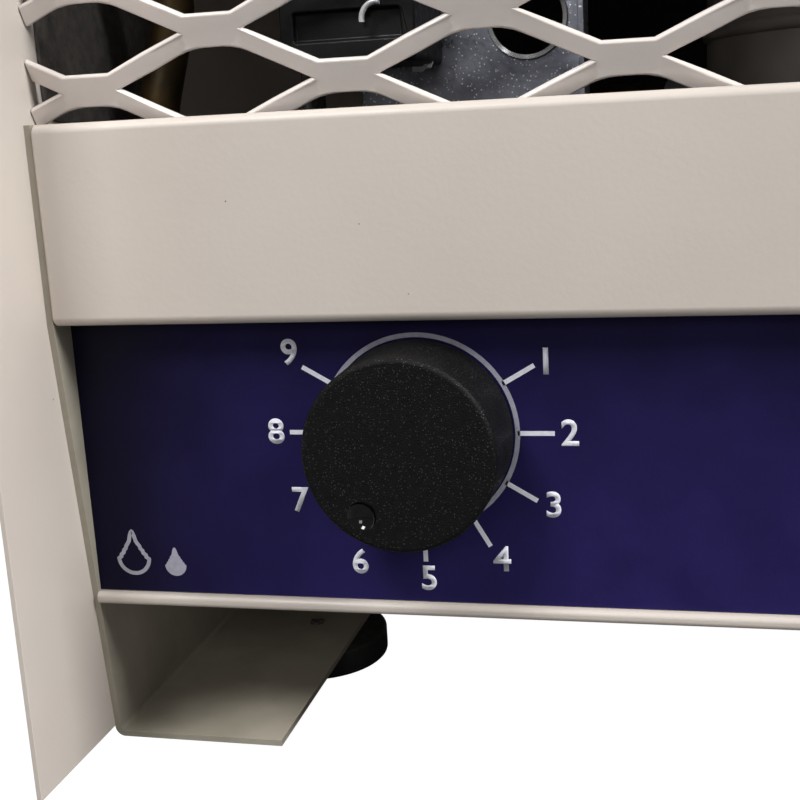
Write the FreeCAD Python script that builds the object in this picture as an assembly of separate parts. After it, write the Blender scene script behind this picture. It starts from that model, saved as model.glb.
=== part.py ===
import FreeCAD, Part
import math
import os

# Compact steel-cased refrigerant dryer, free-standing on four rubber feet.
# Frame: origin on the floor under the middle of the casing, +Z up, front facing -Y. Millimetres.

Vector = FreeCAD.Vector

# Driving dimensions of the casing
WIDTH = 350.0            # over the wrap-round cover
DEPTH = 340.0            # front edge to rear edge of the cover
BODY_TOP = 500.0         # top of the cover above the floor
SHEET = 1.2              # cover, rails and panels
RAIL_SHEET = 1.5         # foot rails
COVER_BOTTOM = 10.0      # lower edge of the cover above the floor
COVER_BEND = 6.0         # inner bend radius of the cover's top corners
HOOD = 32.0              # how far the cover stands in front of the label
FOOT_TOP = 7.5           # underside of the foot rails
BODY_FLOOR = 43.0        # underside of the body between the foot rails
FLANGE_WIDTH = 42.3      # width of a foot rail's flange
BACK_Y = 150.0           # inner face of the back panel
COVER_SCREW_Z = (30.0, 135.0)
COVER_SCREW_Y = (-85.0, 120.0)
HANDLE_HALF, HANDLE_RISE = 74.0, 38.0
HANDLE_HOLES = [(x, y) for x in (-92.0, 92.0) for y in (-7.0, 7.0)]
FOOT_RADIUS = 20.0
FOOT_HOLE = 2.2
FEET = [(x, y) for x in (-144.5, 144.5) for y in (-67.5, 108.0)]

# Control panel
KNOB_X, KNOB_Z = -94.0, 84.0
KNOB_RADIUS, KNOB_HEIGHT = 19.6, 19.9
POINTER_TURN, POINTER_OUT, POINTER_BALL = -123.0, 15.0, 4.2
SHAFT_RADIUS = 3.0
LABEL_BOTTOM = 46.0
LABEL_SHEET = 0.4
PANEL_TOP = 114.0
LIP = 2.0                # how far the lip stands in front of the label
LAMP_X, LENS_RADIUS = 96.0, 3.1
SWITCH_X = 130.0
SWITCH_TILT = 11.0       # the rocker's lean each way from its middle

# Rails and expanded mesh
RAIL_LOW, RAIL_HIGH = 109.0, 151.7
TOP_RAIL_LOW = 470.0
RAIL_STEP = 7.5          # rail faces stand this far in front of the label
MESH_LONG, MESH_SHORT = 55.7, 20.9
MESH_OPEN_LONG, MESH_OPEN_TIP, MESH_OPEN_SHORT = 21.0, 4.9, 7.0
MESH_BOND_X, MESH_BOND_Z = -104.6, 157.8
MESH_LOW, MESH_HIGH = 124.0, 486.0
MESH_THICK = 3.2

# Back panel
OUTLET_RADIUS = 108.0
GLAND_X, GLAND_Z, GLAND_THREAD = -128.0, 78.0, 8.0
SPOUT_X, SPOUT_Z, SPOUT_RADIUS, SPOUT_BORE = 128.0, 70.0, 6.0, 4.4
WALL_HOLE_X, WALL_HOLE_Z, WALL_HOLE_RADIUS = 120.0, 485.0, 3.5
GUARD_RINGS, GUARD_STEP = 7, 15.0

# Air side
COIL_LOW, COIL_HIGH = 292.0, 466.0
COIL_HALF = 150.0        # half the length of the finned stretch
FIN_COUNT, FIN_SHEET = 41, 0.4
TUBE_ROWS = 7
EVAPORATOR_Y, CONDENSER_Y = (-130.0, -100.0), (-92.0, -62.0)
EVAPORATOR_TUBE, CONDENSER_TUBE = 4.76, 4.0
TRAY_OUTLET = (130.0, -66.0)
BULKHEAD_Z = 262.0
FAN_Z = 372.0
FAN_RADIUS = 98.0
SHROUD_Y = -48.0
SHAFT = 4.0              # radius of the fan motor's shaft
MOTOR_LONG, MOTOR_RADIUS = 56.0, 38.0
BRACKET_FEET, MOTOR_SCREWS = (-126.0, 126.0), (-24.0, 24.0)

# Lower bay
COMPRESSOR_X, COMPRESSOR_Y, COMPRESSOR_RADIUS = 24.0, 12.0, 58.0
COMPRESSOR_LOW, COMPRESSOR_HIGH = 58.0, 218.0
LEG_REACH, LEG_SHEET, LEG_RADIUS = 72.0, 3.4, 13.0
SUCTION_WAY, SUCTION_RISE = (-0.88, 0.475), 96.0
PLATE_LEFT, PLATE_RIGHT, PLATE_Y, PLATE_TOP = -113.0, -60.0, -98.0, 238.0
PLATE_HOLE = (-73.7, 170.2, 8.5)
PLATE_FIXINGS = [(-102.0, -88.0), (-72.0, -88.0)]
CAPACITOR, CAPACITOR_RADIUS = (-138.0, 106.0), 20.0
DRIER, DRIER_LOW, DRIER_HIGH = (-150.0, -58.0), 194.0, 236.0
THIN_PIPE, CAPILLARY, WIRE = 3.2, 1.3, 1.2

# Worked out from the above
HALF = WIDTH / 2
INSIDE = HALF - SHEET
CLEAR = INSIDE - RAIL_SHEET
FRONT_Y = -DEPTH / 2
LABEL_Y = FRONT_Y + HOOD
PANEL_Y = LABEL_Y + LABEL_SHEET
RAIL_Y = LABEL_Y - RAIL_STEP
FLOOR_TOP = BODY_FLOOR + 2 * SHEET
MESH_Y = LABEL_Y - 0.6 - MESH_THICK
EVAPORATOR_MID = sum(EVAPORATOR_Y) / 2
CONDENSER_MID = sum(CONDENSER_Y) / 2
PIPE_HOLES = [(-164.2, EVAPORATOR_MID, 8.0), (-163.6, CONDENSER_MID, 7.0), (164.0, -96.0, 6.5),
              (164.0, -126.0, 4.0), (*TRAY_OUTLET, 9.0)]
COMPRESSOR_BOLTS = [(COMPRESSOR_X + LEG_REACH * math.cos(math.radians(a)),
                     COMPRESSOR_Y + LEG_REACH * math.sin(math.radians(a))) for a in (90, 210, 330)]
STUB_END = (COMPRESSOR_X + SUCTION_WAY[0] * (COMPRESSOR_RADIUS + 20.6),
            COMPRESSOR_Y + SUCTION_WAY[1] * (COMPRESSOR_RADIUS + 20.6), COMPRESSOR_LOW + SUCTION_RISE)


def box(x0, x1, y0, y1, z0, z1):
    return Part.makeBox(x1 - x0, y1 - y0, z1 - z0, Vector(x0, y0, z0))


def rod(centre, radius, length, axis=(0, 0, 1)):
    return Part.makeCylinder(radius, length, Vector(*centre), Vector(*axis))


def place(u, v, along, at):
    """A sketch point (u, v) in the plane across one axis."""
    if along == "x":
        return Vector(at, u, v)
    if along == "y":
        return Vector(u, at, v)
    return Vector(u, v, at)


def prism(points, along, low, high):
    """A closed outline of straight sides, extruded along an axis."""
    corners = [place(u, v, along, low) for u, v in points]
    step = place(0, 0, along, high - low)
    return Part.Face(Part.makePolygon(corners + corners[:1])).extrude(step)


def hexagon(u, v, radius):
    """Corners of a nut's outline."""
    turns = [math.radians(60 * i) for i in range(6)]
    return [(u + radius * math.cos(a), v + radius * math.sin(a)) for a in turns]


def folded(points, thickness, bend, along, low, high):
    """Folded sheet: a strip on the middle line through the points, each corner bent to an inner radius."""
    flat = [Vector(u, v, 0) for u, v in points]
    middle = bend + thickness / 2
    sides = {1: [], -1: []}
    for i, corner in enumerate(flat):
        before = (corner - flat[i - 1]).normalize() if i else None
        after = (flat[i + 1] - corner).normalize() if i + 1 < len(flat) else None
        for side in sides:
            run = after if before is None else before
            across = Vector(-run.y, run.x, 0) * (side * thickness / 2)
            if before is None or after is None:
                sides[side].append([corner + across])
                continue
            turn = math.atan2(before.x * after.y - before.y * after.x, before.dot(after))
            cut = middle * math.tan(abs(turn) / 2)
            hand = 1 if turn > 0 else -1
            centre = corner - before * cut + Vector(-before.y, before.x, 0) * (hand * middle)
            radius = middle - side * hand * thickness / 2
            out = (corner - centre).normalize()
            first = centre - Vector(-before.y, before.x, 0) * (hand * radius)
            last = centre - Vector(-after.y, after.x, 0) * (hand * radius)
            sides[side].append([first, centre + out * radius, last])
    edges = []
    loop = sides[1] + [list(reversed(p)) for p in reversed(sides[-1])]
    for i, part in enumerate(loop):
        if len(part) == 3:
            a, b, c = [place(p.x, p.y, along, low) for p in part]
            edges.append(Part.Arc(a, b, c).toShape())
        end = part[-1]
        start = loop[(i + 1) % len(loop)][0]
        edges.append(Part.makeLine(place(end.x, end.y, along, low), place(start.x, start.y, along, low)))
    wire = Part.Wire(Part.__sortEdges__(edges))
    return Part.Face(wire).extrude(place(0, 0, along, high - low))


def tube(points, radius, bend):
    """A round tube along straight runs joined by tangent arcs, as large as the runs allow up to bend."""
    flat = [Vector(*p) for p in points]
    edges = []
    start = flat[0]
    for i in range(1, len(flat) - 1):
        before = (flat[i] - flat[i - 1]).normalize()
        after = (flat[i + 1] - flat[i]).normalize()
        half = before.getAngle(after) / 2
        shorter = min((flat[i] - flat[i - 1]).Length, (flat[i + 1] - flat[i]).Length)
        arc = min(bend, 0.45 * shorter / math.tan(half))
        first = flat[i] - before * (arc * math.tan(half))
        last = flat[i] + after * (arc * math.tan(half))
        centre = flat[i] + (after - before).normalize() * (arc / math.cos(half))
        middle = centre + (flat[i] - centre).normalize() * arc
        edges.append(Part.makeLine(start, first))
        edges.append(Part.Arc(first, middle, last).toShape())
        start = last
    edges.append(Part.makeLine(start, flat[-1]))
    ring = Part.Wire(Part.makeCircle(radius, flat[0], flat[1] - flat[0]))
    return Part.Wire(edges).makePipeShell([ring], True, True)


def keep(name, *shapes):
    """Writes one node, as one solid or a group of separate ones."""
    shape = shapes[0] if len(shapes) == 1 else Part.makeCompound(list(shapes))
    if not shape.isValid():
        print("not valid:", name)
    shape.exportStep("parts/" + name + ".step")


def pan_screw(x, y, z, axis, head=3.4, height=2.2, shank=1.6, length=6.0):
    """A pan-head screw: the head stands on the point, the shank goes the other way."""
    out = Vector(*axis)
    at = Vector(x, y, z)
    top = Part.makeCylinder(head, height, at, out)
    rim = [e for e in top.Edges if e.BoundBox.Center.distanceToPoint(at + out * height) < 0.2]
    top = top.makeFillet(height * 0.45, rim)
    slot_a = box(-head, head, -0.4, 0.4, -0.9, 0.9)
    slot_b = box(-0.4, 0.4, -head, head, -0.9, 0.9)
    cross = slot_a.fuse(slot_b).common(rod((0, 0, -1), head * 0.6, 2))
    cross.Placement = FreeCAD.Placement(at + out * height, FreeCAD.Rotation(Vector(0, 0, 1), out))
    return top.cut(cross).fuse(Part.makeCylinder(shank, length, at, out * -1))


# ---- casing -------------------------------------------------------------------------------------

def wrap_cover():
    """One sheet folded over both sides and the top, standing in front of the controls."""
    mid = HALF - SHEET / 2
    top = BODY_TOP - SHEET / 2
    outline = [(-mid, COVER_BOTTOM), (-mid, top), (mid, top), (mid, COVER_BOTTOM)]
    cover = folded(outline, SHEET, COVER_BEND, "y", FRONT_Y, -FRONT_Y)
    for side in (-1, 1):
        for z in COVER_SCREW_Z:
            for y in COVER_SCREW_Y:
                cover = cover.cut(rod((side * (HALF - 3), y, z), 2.0, 6, (side, 0, 0)))
    for x, y in HANDLE_HOLES:
        cover = cover.cut(rod((x, y, BODY_TOP - 3), 2.6, 6))
    return cover


def foot_rail(side):
    """L-shaped rail: a wall against the cover and a flange that carries two feet."""
    wall = CLEAR + RAIL_SHEET / 2
    low = FOOT_TOP + RAIL_SHEET / 2
    outline = [(side * wall, RAIL_HIGH), (side * wall, low), (side * (INSIDE - FLANGE_WIDTH), low)]
    rail = folded(outline, RAIL_SHEET, 1.0, "y", RAIL_Y + 0.3, BACK_Y)
    front = RAIL_Y + 0.3
    foot_front = LABEL_Y + 2.0
    slope = [(front - 1, 0), (foot_front, 0), (foot_front, FOOT_TOP + 4),
             (front, RAIL_LOW), (front - 1, RAIL_LOW)]
    rail = rail.cut(prism(slope, "x", -HALF, HALF))
    for x, y in FEET:
        if x * side > 0:
            rail = rail.cut(rod((x, y, 0), FOOT_HOLE, 20))
    for z in COVER_SCREW_Z:
        for y in COVER_SCREW_Y:
            rail = rail.cut(rod((side * (HALF - 6), y, z), 1.7, 8, (side, 0, 0)))
    return rail


def base_tray():
    """Floor of the body: a shallow tray folded up at both sides."""
    low = BODY_FLOOR + SHEET * 1.5
    side = CLEAR - SHEET / 2
    tray = folded([(-side, 62), (-side, low), (side, low), (side, 62)], SHEET, 1.0, "y", -134, BACK_Y)
    for x, y in COMPRESSOR_BOLTS:
        tray = tray.cut(rod((x, y, 40), 3.2, 10))
    for x, y in PLATE_FIXINGS:
        tray = tray.cut(rod((x, y, 40), 1.7, 10))
    return tray


def control_panel():
    """Folded front panel: a rolled lip under the label and a flange under the tray."""
    outline = [(-112, BODY_FLOOR + SHEET / 2), (PANEL_Y + SHEET / 2, BODY_FLOOR + SHEET / 2),
               (PANEL_Y + SHEET / 2, PANEL_TOP)]
    panel = folded(outline, SHEET, 0.4, "x", -CLEAR, CLEAR)
    lip = box(-CLEAR, CLEAR, LABEL_Y - LIP, PANEL_Y + SHEET, BODY_FLOOR, LABEL_BOTTOM - 0.2)
    nose = [e for e in lip.Edges if e.Length > WIDTH / 2 and e.BoundBox.YMax < LABEL_Y - LIP + 0.1]
    panel = panel.fuse(lip.makeFillet(1.2, nose)).removeSplitter()
    for hole in panel_holes():
        panel = panel.cut(hole)
    return panel


def panel_holes():
    bush = rod((KNOB_X, LABEL_Y - 2, KNOB_Z), 4.8, 6, (0, 1, 0))
    lamp = rod((LAMP_X, LABEL_Y - 2, KNOB_Z), 4.05, 6, (0, 1, 0))
    switch = box(SWITCH_X - 6.6, SWITCH_X + 6.6, LABEL_Y - 2, LABEL_Y + 4, KNOB_Z - 9.6, KNOB_Z + 9.6)
    return [bush, lamp, switch]


def control_label():
    """Printed film glued to the panel; its top edge tucks behind the rail."""
    film = box(-CLEAR, CLEAR, LABEL_Y, PANEL_Y, LABEL_BOTTOM, PANEL_TOP)
    for hole in panel_holes():
        film = film.cut(hole)
    return film


def rail(low, high, half):
    """A flat rail across the front, folded back at its upper and lower edges."""
    face = RAIL_Y + SHEET / 2
    back = RAIL_Y + 3.0
    a, b = low + SHEET / 2, high - SHEET / 2
    return folded([(back, b), (face, b), (face, a), (back, a)], SHEET, 0.8, "x", -half, half)


def front_mesh():
    """Expanded steel: staggered six-sided openings between raised strands, welded behind both rails."""
    wide = INSIDE - 0.2
    lower = box(-CLEAR, CLEAR, MESH_Y, MESH_Y + MESH_THICK, MESH_LOW, RAIL_HIGH + 1)
    upper = box(-wide, wide, MESH_Y, MESH_Y + MESH_THICK, RAIL_HIGH + 1, MESH_HIGH)
    plate = lower.fuse(upper).removeSplitter()
    openings = []
    rows = int((MESH_HIGH - MESH_LOW) / (MESH_SHORT / 2)) + 2
    first = MESH_BOND_Z - MESH_SHORT * 2
    for row in range(rows):
        z = first + row * MESH_SHORT / 2
        shift = MESH_LONG / 2 if row % 2 == 0 else 0.0
        for column in range(-2, 7):
            x = MESH_BOND_X + shift + column * MESH_LONG
            if abs(x) > CLEAR + MESH_OPEN_LONG or z > MESH_HIGH + MESH_OPEN_SHORT:
                continue
            six = [(x - MESH_OPEN_LONG, z), (x - MESH_OPEN_TIP, z + MESH_OPEN_SHORT),
                   (x + MESH_OPEN_TIP, z + MESH_OPEN_SHORT), (x + MESH_OPEN_LONG, z),
                   (x + MESH_OPEN_TIP, z - MESH_OPEN_SHORT), (x - MESH_OPEN_TIP, z - MESH_OPEN_SHORT)]
            openings.append(prism(six, "y", MESH_Y - 1, MESH_Y + MESH_THICK + 1))
    mesh = plate.cut(Part.makeCompound(openings))
    return sorted(mesh.Solids, key=lambda s: s.Volume)[-1]


def back_panel():
    """Rear panel with the air outlet, vents for the compressor, and the service holes."""
    panel = box(-INSIDE, INSIDE, BACK_Y, BACK_Y + SHEET, BODY_FLOOR, 480)
    panel = panel.fuse(box(-160, 160, BACK_Y, BACK_Y + SHEET, 480, BODY_TOP - SHEET)).removeSplitter()
    panel = panel.cut(rod((0, BACK_Y - 2, FAN_Z), OUTLET_RADIUS, 6, (0, 1, 0)))
    for i in range(7):
        x = COMPRESSOR_X + (i - 3) * 14
        panel = panel.cut(box(x - 3, x + 3, BACK_Y - 1, BACK_Y + 3, 120, 190))
    panel = panel.cut(rod((GLAND_X, BACK_Y - 2, GLAND_Z), GLAND_THREAD + 0.1, 6, (0, 1, 0)))
    panel = panel.cut(rod((SPOUT_X, BACK_Y - 2, SPOUT_Z), SPOUT_RADIUS + 1.1, 6, (0, 1, 0)))
    for side in (-1, 1):
        panel = panel.cut(rod((side * WALL_HOLE_X, BACK_Y - 2, WALL_HOLE_Z), WALL_HOLE_RADIUS, 6, (0, 1, 0)))
    for x, z in guard_screw_places():
        panel = panel.cut(rod((x, BACK_Y - 2, z), 1.7, 6, (0, 1, 0)))
    return panel


def guard_screw_places():
    reach = OUTLET_RADIUS + 8
    turns = [math.radians(45 + 90 * i) for i in range(4)]
    return [(reach * math.cos(a), FAN_Z + reach * math.sin(a)) for a in turns]


def rear_guard():
    """Round wire guard: rings welded to four spokes, with an eye at each spoke's end."""
    guard = None
    for i in range(1, GUARD_RINGS + 1):
        ring = Part.makeTorus(i * GUARD_STEP, 1.2, Vector(0, BACK_Y + SHEET + 4.4, FAN_Z), Vector(0, 1, 0))
        guard = ring if guard is None else guard.fuse(ring)
    hub = Vector(0, BACK_Y + SHEET + 2.7, FAN_Z)
    for x, z in guard_screw_places():
        out = Vector(x, 0, z - FAN_Z).normalize()
        spoke = rod(tuple(hub + out * 13), 1.5, OUTLET_RADIUS - 9.5, tuple(out))
        eye = rod((x, BACK_Y + SHEET, z), 5.5, 3.6, (0, 1, 0))
        bore = rod((x, BACK_Y, z), 2.0, 8, (0, 1, 0))
        guard = guard.fuse(spoke).fuse(eye).cut(bore)
    return guard


def handle_strap():
    """Steel strap folded into a bridge over the top of the cover."""
    low, high = BODY_TOP + 1.5, BODY_TOP + HANDLE_RISE
    foot = HANDLE_HALF + 30
    outline = [(-foot, low), (-HANDLE_HALF, low), (-HANDLE_HALF, high),
               (HANDLE_HALF, high), (HANDLE_HALF, low), (foot, low)]
    strap = folded(outline, 3.0, 5.0, "y", -13, 13)
    for x, y in HANDLE_HOLES:
        strap = strap.cut(rod((x, y, BODY_TOP - 1), 2.6, 8))
    return strap


def handle_grip():
    """Moulded sleeve over the strap's bridge."""
    z = BODY_TOP + HANDLE_RISE
    outer = box(-58, 58, -16, 16, z - 7, z + 7)
    long_edges = [e for e in outer.Edges if e.Length > 100]
    outer = outer.makeFillet(6.0, long_edges)
    return outer.cut(box(-60, 60, -13, 13, z - 1.5, z + 1.5))


# ---- controls -----------------------------------------------------------------------------------

def turned(profile, x, z):
    """A profile of (radius, y) points turned about a line along Y."""
    points = [Vector(r, y, 0) for r, y in profile]
    face = Part.Face(Part.makePolygon(points + points[:1]))
    solid = face.revolve(Vector(0, 0, 0), Vector(0, 1, 0), 360)
    solid.translate(Vector(x, 0, z))
    return solid


def control_knob():
    """Round moulded knob with a dished pointer mark, at rest on the sixth mark."""
    back, face = LABEL_Y - 1.0, LABEL_Y - KNOB_HEIGHT
    outline = [(SHAFT_RADIUS + 0.02, back - 5), (13, back - 5), (13, back), (KNOB_RADIUS + 0.4, back),
               (KNOB_RADIUS, face), (0, face), (0, LABEL_Y - 15), (SHAFT_RADIUS + 0.02, LABEL_Y - 15)]
    knob = turned(outline, KNOB_X, KNOB_Z)
    front = [e for e in knob.Edges if abs(e.BoundBox.YMin - face) < 0.01]
    knob = knob.makeFillet(1.1, [e for e in front if e.BoundBox.XLength > 2 * KNOB_RADIUS - 1])
    turn = math.radians(POINTER_TURN)
    x, z = KNOB_X + POINTER_OUT * math.cos(turn), KNOB_Z + POINTER_OUT * math.sin(turn)
    return knob.cut(Part.makeSphere(POINTER_BALL, Vector(x, face - 2.9, z)))


def humidistat_body():
    """Humidity control behind the panel, with the threaded bush that holds it."""
    case = box(KNOB_X - 17, KNOB_X + 17, PANEL_Y + SHEET, PANEL_Y + SHEET + 27, KNOB_Z - 21, KNOB_Z + 17)
    upright = [e for e in case.Edges if abs(e.BoundBox.YLength - 27) < 0.01]
    case = case.makeFillet(2.0, upright)
    bush = rod((KNOB_X, LABEL_Y - 3.4, KNOB_Z), 4.7, 8, (0, 1, 0))
    return case.fuse(bush).cut(rod((KNOB_X, LABEL_Y - 6, KNOB_Z), SHAFT_RADIUS + 0.05, 20, (0, 1, 0)))


def humidistat_nut():
    """Thin six-sided nut on the bush, hidden in the knob's skirt."""
    nut = prism(hexagon(KNOB_X, KNOB_Z, 7.5), "y", LABEL_Y - 2.2, LABEL_Y)
    return nut.cut(rod((KNOB_X, LABEL_Y - 4, KNOB_Z), 4.72, 6, (0, 1, 0)))


def switch_bezel():
    """Frame and open housing of the rocker switch."""
    y = LABEL_Y
    frame = box(SWITCH_X - 8, SWITCH_X + 8, y - 2, y, KNOB_Z - 11, KNOB_Z + 11)
    edges = [e for e in frame.Edges if e.BoundBox.YMax < y - 1.9]
    frame = frame.makeFillet(0.8, edges)
    housing = box(SWITCH_X - 6.5, SWITCH_X + 6.5, y, y + 18, KNOB_Z - 9.5, KNOB_Z + 9.5)
    body = frame.fuse(housing)
    body = body.cut(box(SWITCH_X - 5.5, SWITCH_X + 5.5, y - 4, y + 15, KNOB_Z - 8.5, KNOB_Z + 8.5))
    return body.cut(rod((SWITCH_X - 8, y + 2, KNOB_Z), 1.02, 16, (1, 0, 0)))


def switch_rocker():
    """Rocker with two shallow faces meeting at its middle; at rest it leans to its lower stop."""
    y = LABEL_Y + 2
    drum = rod((SWITCH_X - 5.0, y, KNOB_Z), 8.1, 10.0, (1, 0, 0))
    faces = [(y - 5.2, KNOB_Z - 8.6), (y - 3.6, KNOB_Z), (y - 5.2, KNOB_Z + 8.6),
             (y + 4, KNOB_Z + 8.6), (y + 4, KNOB_Z - 8.6)]
    rocker = drum.common(prism(faces, "x", SWITCH_X - 5.0, SWITCH_X + 5.0))
    rocker = rocker.cut(rod((SWITCH_X - 8, y, KNOB_Z), 1.06, 16, (1, 0, 0)))
    rocker.rotate(Vector(SWITCH_X, y, KNOB_Z), Vector(1, 0, 0), SWITCH_TILT)
    return rocker


def lamp_lens():
    """Round tinted lens of the mains lamp."""
    lens = rod((LAMP_X, LABEL_Y - 2.6, KNOB_Z), LENS_RADIUS, 22, (0, 1, 0))
    rim = [e for e in lens.Edges if e.BoundBox.YMax < LABEL_Y - 2.5]
    return lens.makeFillet(1.2, rim)


def lamp_bezel():
    """Plated ring and sleeve that hold the lens in the panel."""
    ring = rod((LAMP_X, LABEL_Y - 1.4, KNOB_Z), 5.4, 1.4, (0, 1, 0))
    sleeve = rod((LAMP_X, LABEL_Y, KNOB_Z), 4.0, 14, (0, 1, 0))
    return ring.fuse(sleeve).cut(rod((LAMP_X, LABEL_Y - 4, KNOB_Z), LENS_RADIUS + 0.02, 30, (0, 1, 0)))


# ---- electrics ----------------------------------------------------------------------------------

def electrics_plate():
    """Zinc-plated bracket that stands on the tray, folded forward along its right edge."""
    mid = PLATE_Y + 0.6
    outline = [(PLATE_LEFT, mid), (PLATE_RIGHT - 0.6, mid), (PLATE_RIGHT - 0.6, PLATE_Y - 12)]
    plate = folded(outline, SHEET, 0.6, "z", FLOOR_TOP, PLATE_TOP)
    foot = box(PLATE_LEFT, PLATE_RIGHT - 2.5, PLATE_Y + SHEET / 2, PLATE_Y + 20, FLOOR_TOP, FLOOR_TOP + SHEET)
    plate = plate.fuse(foot)
    x, z, radius = PLATE_HOLE
    plate = plate.cut(rod((x, PLATE_Y - 4, z), radius, 10, (0, 1, 0)))
    for x, y in PLATE_FIXINGS:
        plate = plate.cut(rod((x, y, 40), 1.7, 20))
    return plate.removeSplitter()


def relay():
    """Black compressor relay on the front of the plate."""
    case = box(-123, -93.5, PLATE_Y - 27, PLATE_Y, 161, 204)
    edges = [e for e in case.Edges if abs(e.BoundBox.YLength - 27) < 0.01]
    case = case.makeFillet(1.5, edges)
    for z in (166, 176, 186):
        case = case.cut(box(-120, -96.5, PLATE_Y - 28, PLATE_Y - 25, z, z + 6))
    return case


def defrost_timer():
    """Boxed defrost timer below the relay."""
    case = box(-112, -76, PLATE_Y - 22, PLATE_Y, 112, 146)
    edges = [e for e in case.Edges if abs(e.BoundBox.YLength - 22) < 0.01]
    return case.makeFillet(2.0, edges)


def terminal_block():
    """Row of screw terminals behind the plate."""
    block = box(-106, -66, PLATE_Y + SHEET, PLATE_Y + 16, 182, 202)
    for i in range(5):
        x = -102 + i * 8
        block = block.cut(rod((x, PLATE_Y + 8, 195), 2.4, 10))
        block = block.cut(box(x + 3.5, x + 4.5, PLATE_Y + 10, PLATE_Y + 20, 184, 206))
    return block


def run_capacitor():
    """Run capacitor of the compressor, standing in its clip."""
    x, y = CAPACITOR
    can = rod((x, y, FLOOR_TOP + SHEET), CAPACITOR_RADIUS, 72)
    rims = [e for e in can.Edges if e.BoundBox.ZLength < 0.01]
    can = can.makeFillet(1.5, rims)
    for side in (-5, 5):
        can = can.fuse(box(x + side - 0.4, x + side + 0.4, y - 3, y + 3, FLOOR_TOP + 70, FLOOR_TOP + 81))
    return can


def capacitor_clip():
    """Spring clip round the capacitor, riveted to a square foot on the tray."""
    x, y = CAPACITOR
    ring = rod((x, y, FLOOR_TOP), CAPACITOR_RADIUS + SHEET, 40)
    foot = box(x - 24, x + 24, y - 16, y + 16, FLOOR_TOP, FLOOR_TOP + SHEET)
    clip = ring.fuse(foot).cut(rod((x, y, FLOOR_TOP + SHEET), CAPACITOR_RADIUS + 0.02, 50))
    window = box(x - 30, x + 30, y - 12, y + 12, FLOOR_TOP + 4, FLOOR_TOP + 26)
    return clip.cut(window)


def cable_gland():
    """Moulded gland in the back panel; the supply lead itself isn't part of this model."""
    y = BACK_Y + SHEET
    dome = Part.makeCone(9.5, 6.5, 12, Vector(GLAND_X, y + 4, GLAND_Z), Vector(0, 1, 0))
    nut = prism(hexagon(GLAND_X, GLAND_Z, 11), "y", y, y + 5)
    thread = rod((GLAND_X, BACK_Y - 10, GLAND_Z), GLAND_THREAD, 12, (0, 1, 0))
    return dome.fuse(nut).fuse(thread).cut(rod((GLAND_X, BACK_Y - 12, GLAND_Z), 4.0, 40, (0, 1, 0)))


# ---- cooling circuit ----------------------------------------------------------------------------

def compressor():
    """Rotary compressor: a welded steel pot on a three-legged foot plate."""
    low, high = COMPRESSOR_LOW, COMPRESSOR_HIGH
    pot = rod((COMPRESSOR_X, COMPRESSOR_Y, low + 3), COMPRESSOR_RADIUS, high - low - 3)
    rims = [e for e in pot.Edges if e.BoundBox.ZLength < 0.01]
    pot = pot.makeFillet(20.0, rims)
    seam_at = Vector(COMPRESSOR_X, COMPRESSOR_Y, low + 112)
    seam = Part.makeTorus(COMPRESSOR_RADIUS - 0.6, 2.0, seam_at, Vector(0, 0, 1))
    pot = pot.fuse(seam)
    centre = (COMPRESSOR_X, COMPRESSOR_Y, low)
    foot = rod(centre, 44, LEG_SHEET)
    for x, y in COMPRESSOR_BOLTS:
        leg = rod((x, y, low), LEG_RADIUS, LEG_SHEET)
        out = Vector(x - COMPRESSOR_X, y - COMPRESSOR_Y, 0).normalize()
        across = Vector(-out.y, out.x, 0) * LEG_RADIUS
        mid = Vector(*centre)
        points = [mid + across, Vector(x, y, low) + across, Vector(x, y, low) - across, mid - across]
        arm = Part.Face(Part.makePolygon(points + points[:1])).extrude(Vector(0, 0, LEG_SHEET))
        foot = foot.fuse(leg).fuse(arm)
    for x, y in COMPRESSOR_BOLTS:
        foot = foot.cut(rod((x, y, low - 1), 7.0, 6))
    discharge = rod((COMPRESSOR_X, COMPRESSOR_Y, high - 2), 5.0, 12)
    suction = rod(STUB_END, 6.0, 24, (-SUCTION_WAY[0], -SUCTION_WAY[1], 0))
    return pot.fuse(foot).fuse(discharge).fuse(suction).removeSplitter()


def compressor_cap():
    """Moulded cover over the compressor's terminals, at the back of the pot."""
    block = box(COMPRESSOR_X - 24, COMPRESSOR_X + 24, COMPRESSOR_Y + 40, COMPRESSOR_Y + 72, 130, 186)
    edges = [e for e in block.Edges if e.BoundBox.YMin > COMPRESSOR_Y + 70]
    block = block.makeFillet(4.0, edges)
    return block.cut(rod((COMPRESSOR_X, COMPRESSOR_Y, 100), COMPRESSOR_RADIUS, 120)).cut(compressor())


def compressor_grommets():
    """Waisted rubber mounts between the foot plate and the tray."""
    shapes = []
    for x, y in COMPRESSOR_BOLTS:
        body = rod((x, y, FLOOR_TOP), 11, COMPRESSOR_LOW - FLOOR_TOP)
        neck = rod((x, y, COMPRESSOR_LOW), 6.9, LEG_SHEET)
        top = rod((x, y, COMPRESSOR_LOW + LEG_SHEET), 10, 3)
        shapes.append(body.fuse(neck).fuse(top).cut(rod((x, y, FLOOR_TOP - 1), 3.3, 30)))
    return shapes


def compressor_bolts():
    """Studs up through the mounts, each with its nut."""
    shapes = []
    for x, y in COMPRESSOR_BOLTS:
        stud = rod((x, y, BODY_FLOOR - 0.2), 3.1, COMPRESSOR_LOW + 14 - BODY_FLOOR)
        nut = prism(hexagon(x, y, 5.8), "z", COMPRESSOR_LOW + 6.4, COMPRESSOR_LOW + 11.4)
        shapes.append(stud.fuse(nut))
    return shapes


def coil_rows():
    """Heights of the tube's rows."""
    pitch = (COIL_HIGH - COIL_LOW) / TUBE_ROWS
    return [COIL_LOW + pitch * (i + 0.5) for i in range(TUBE_ROWS)]


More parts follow.
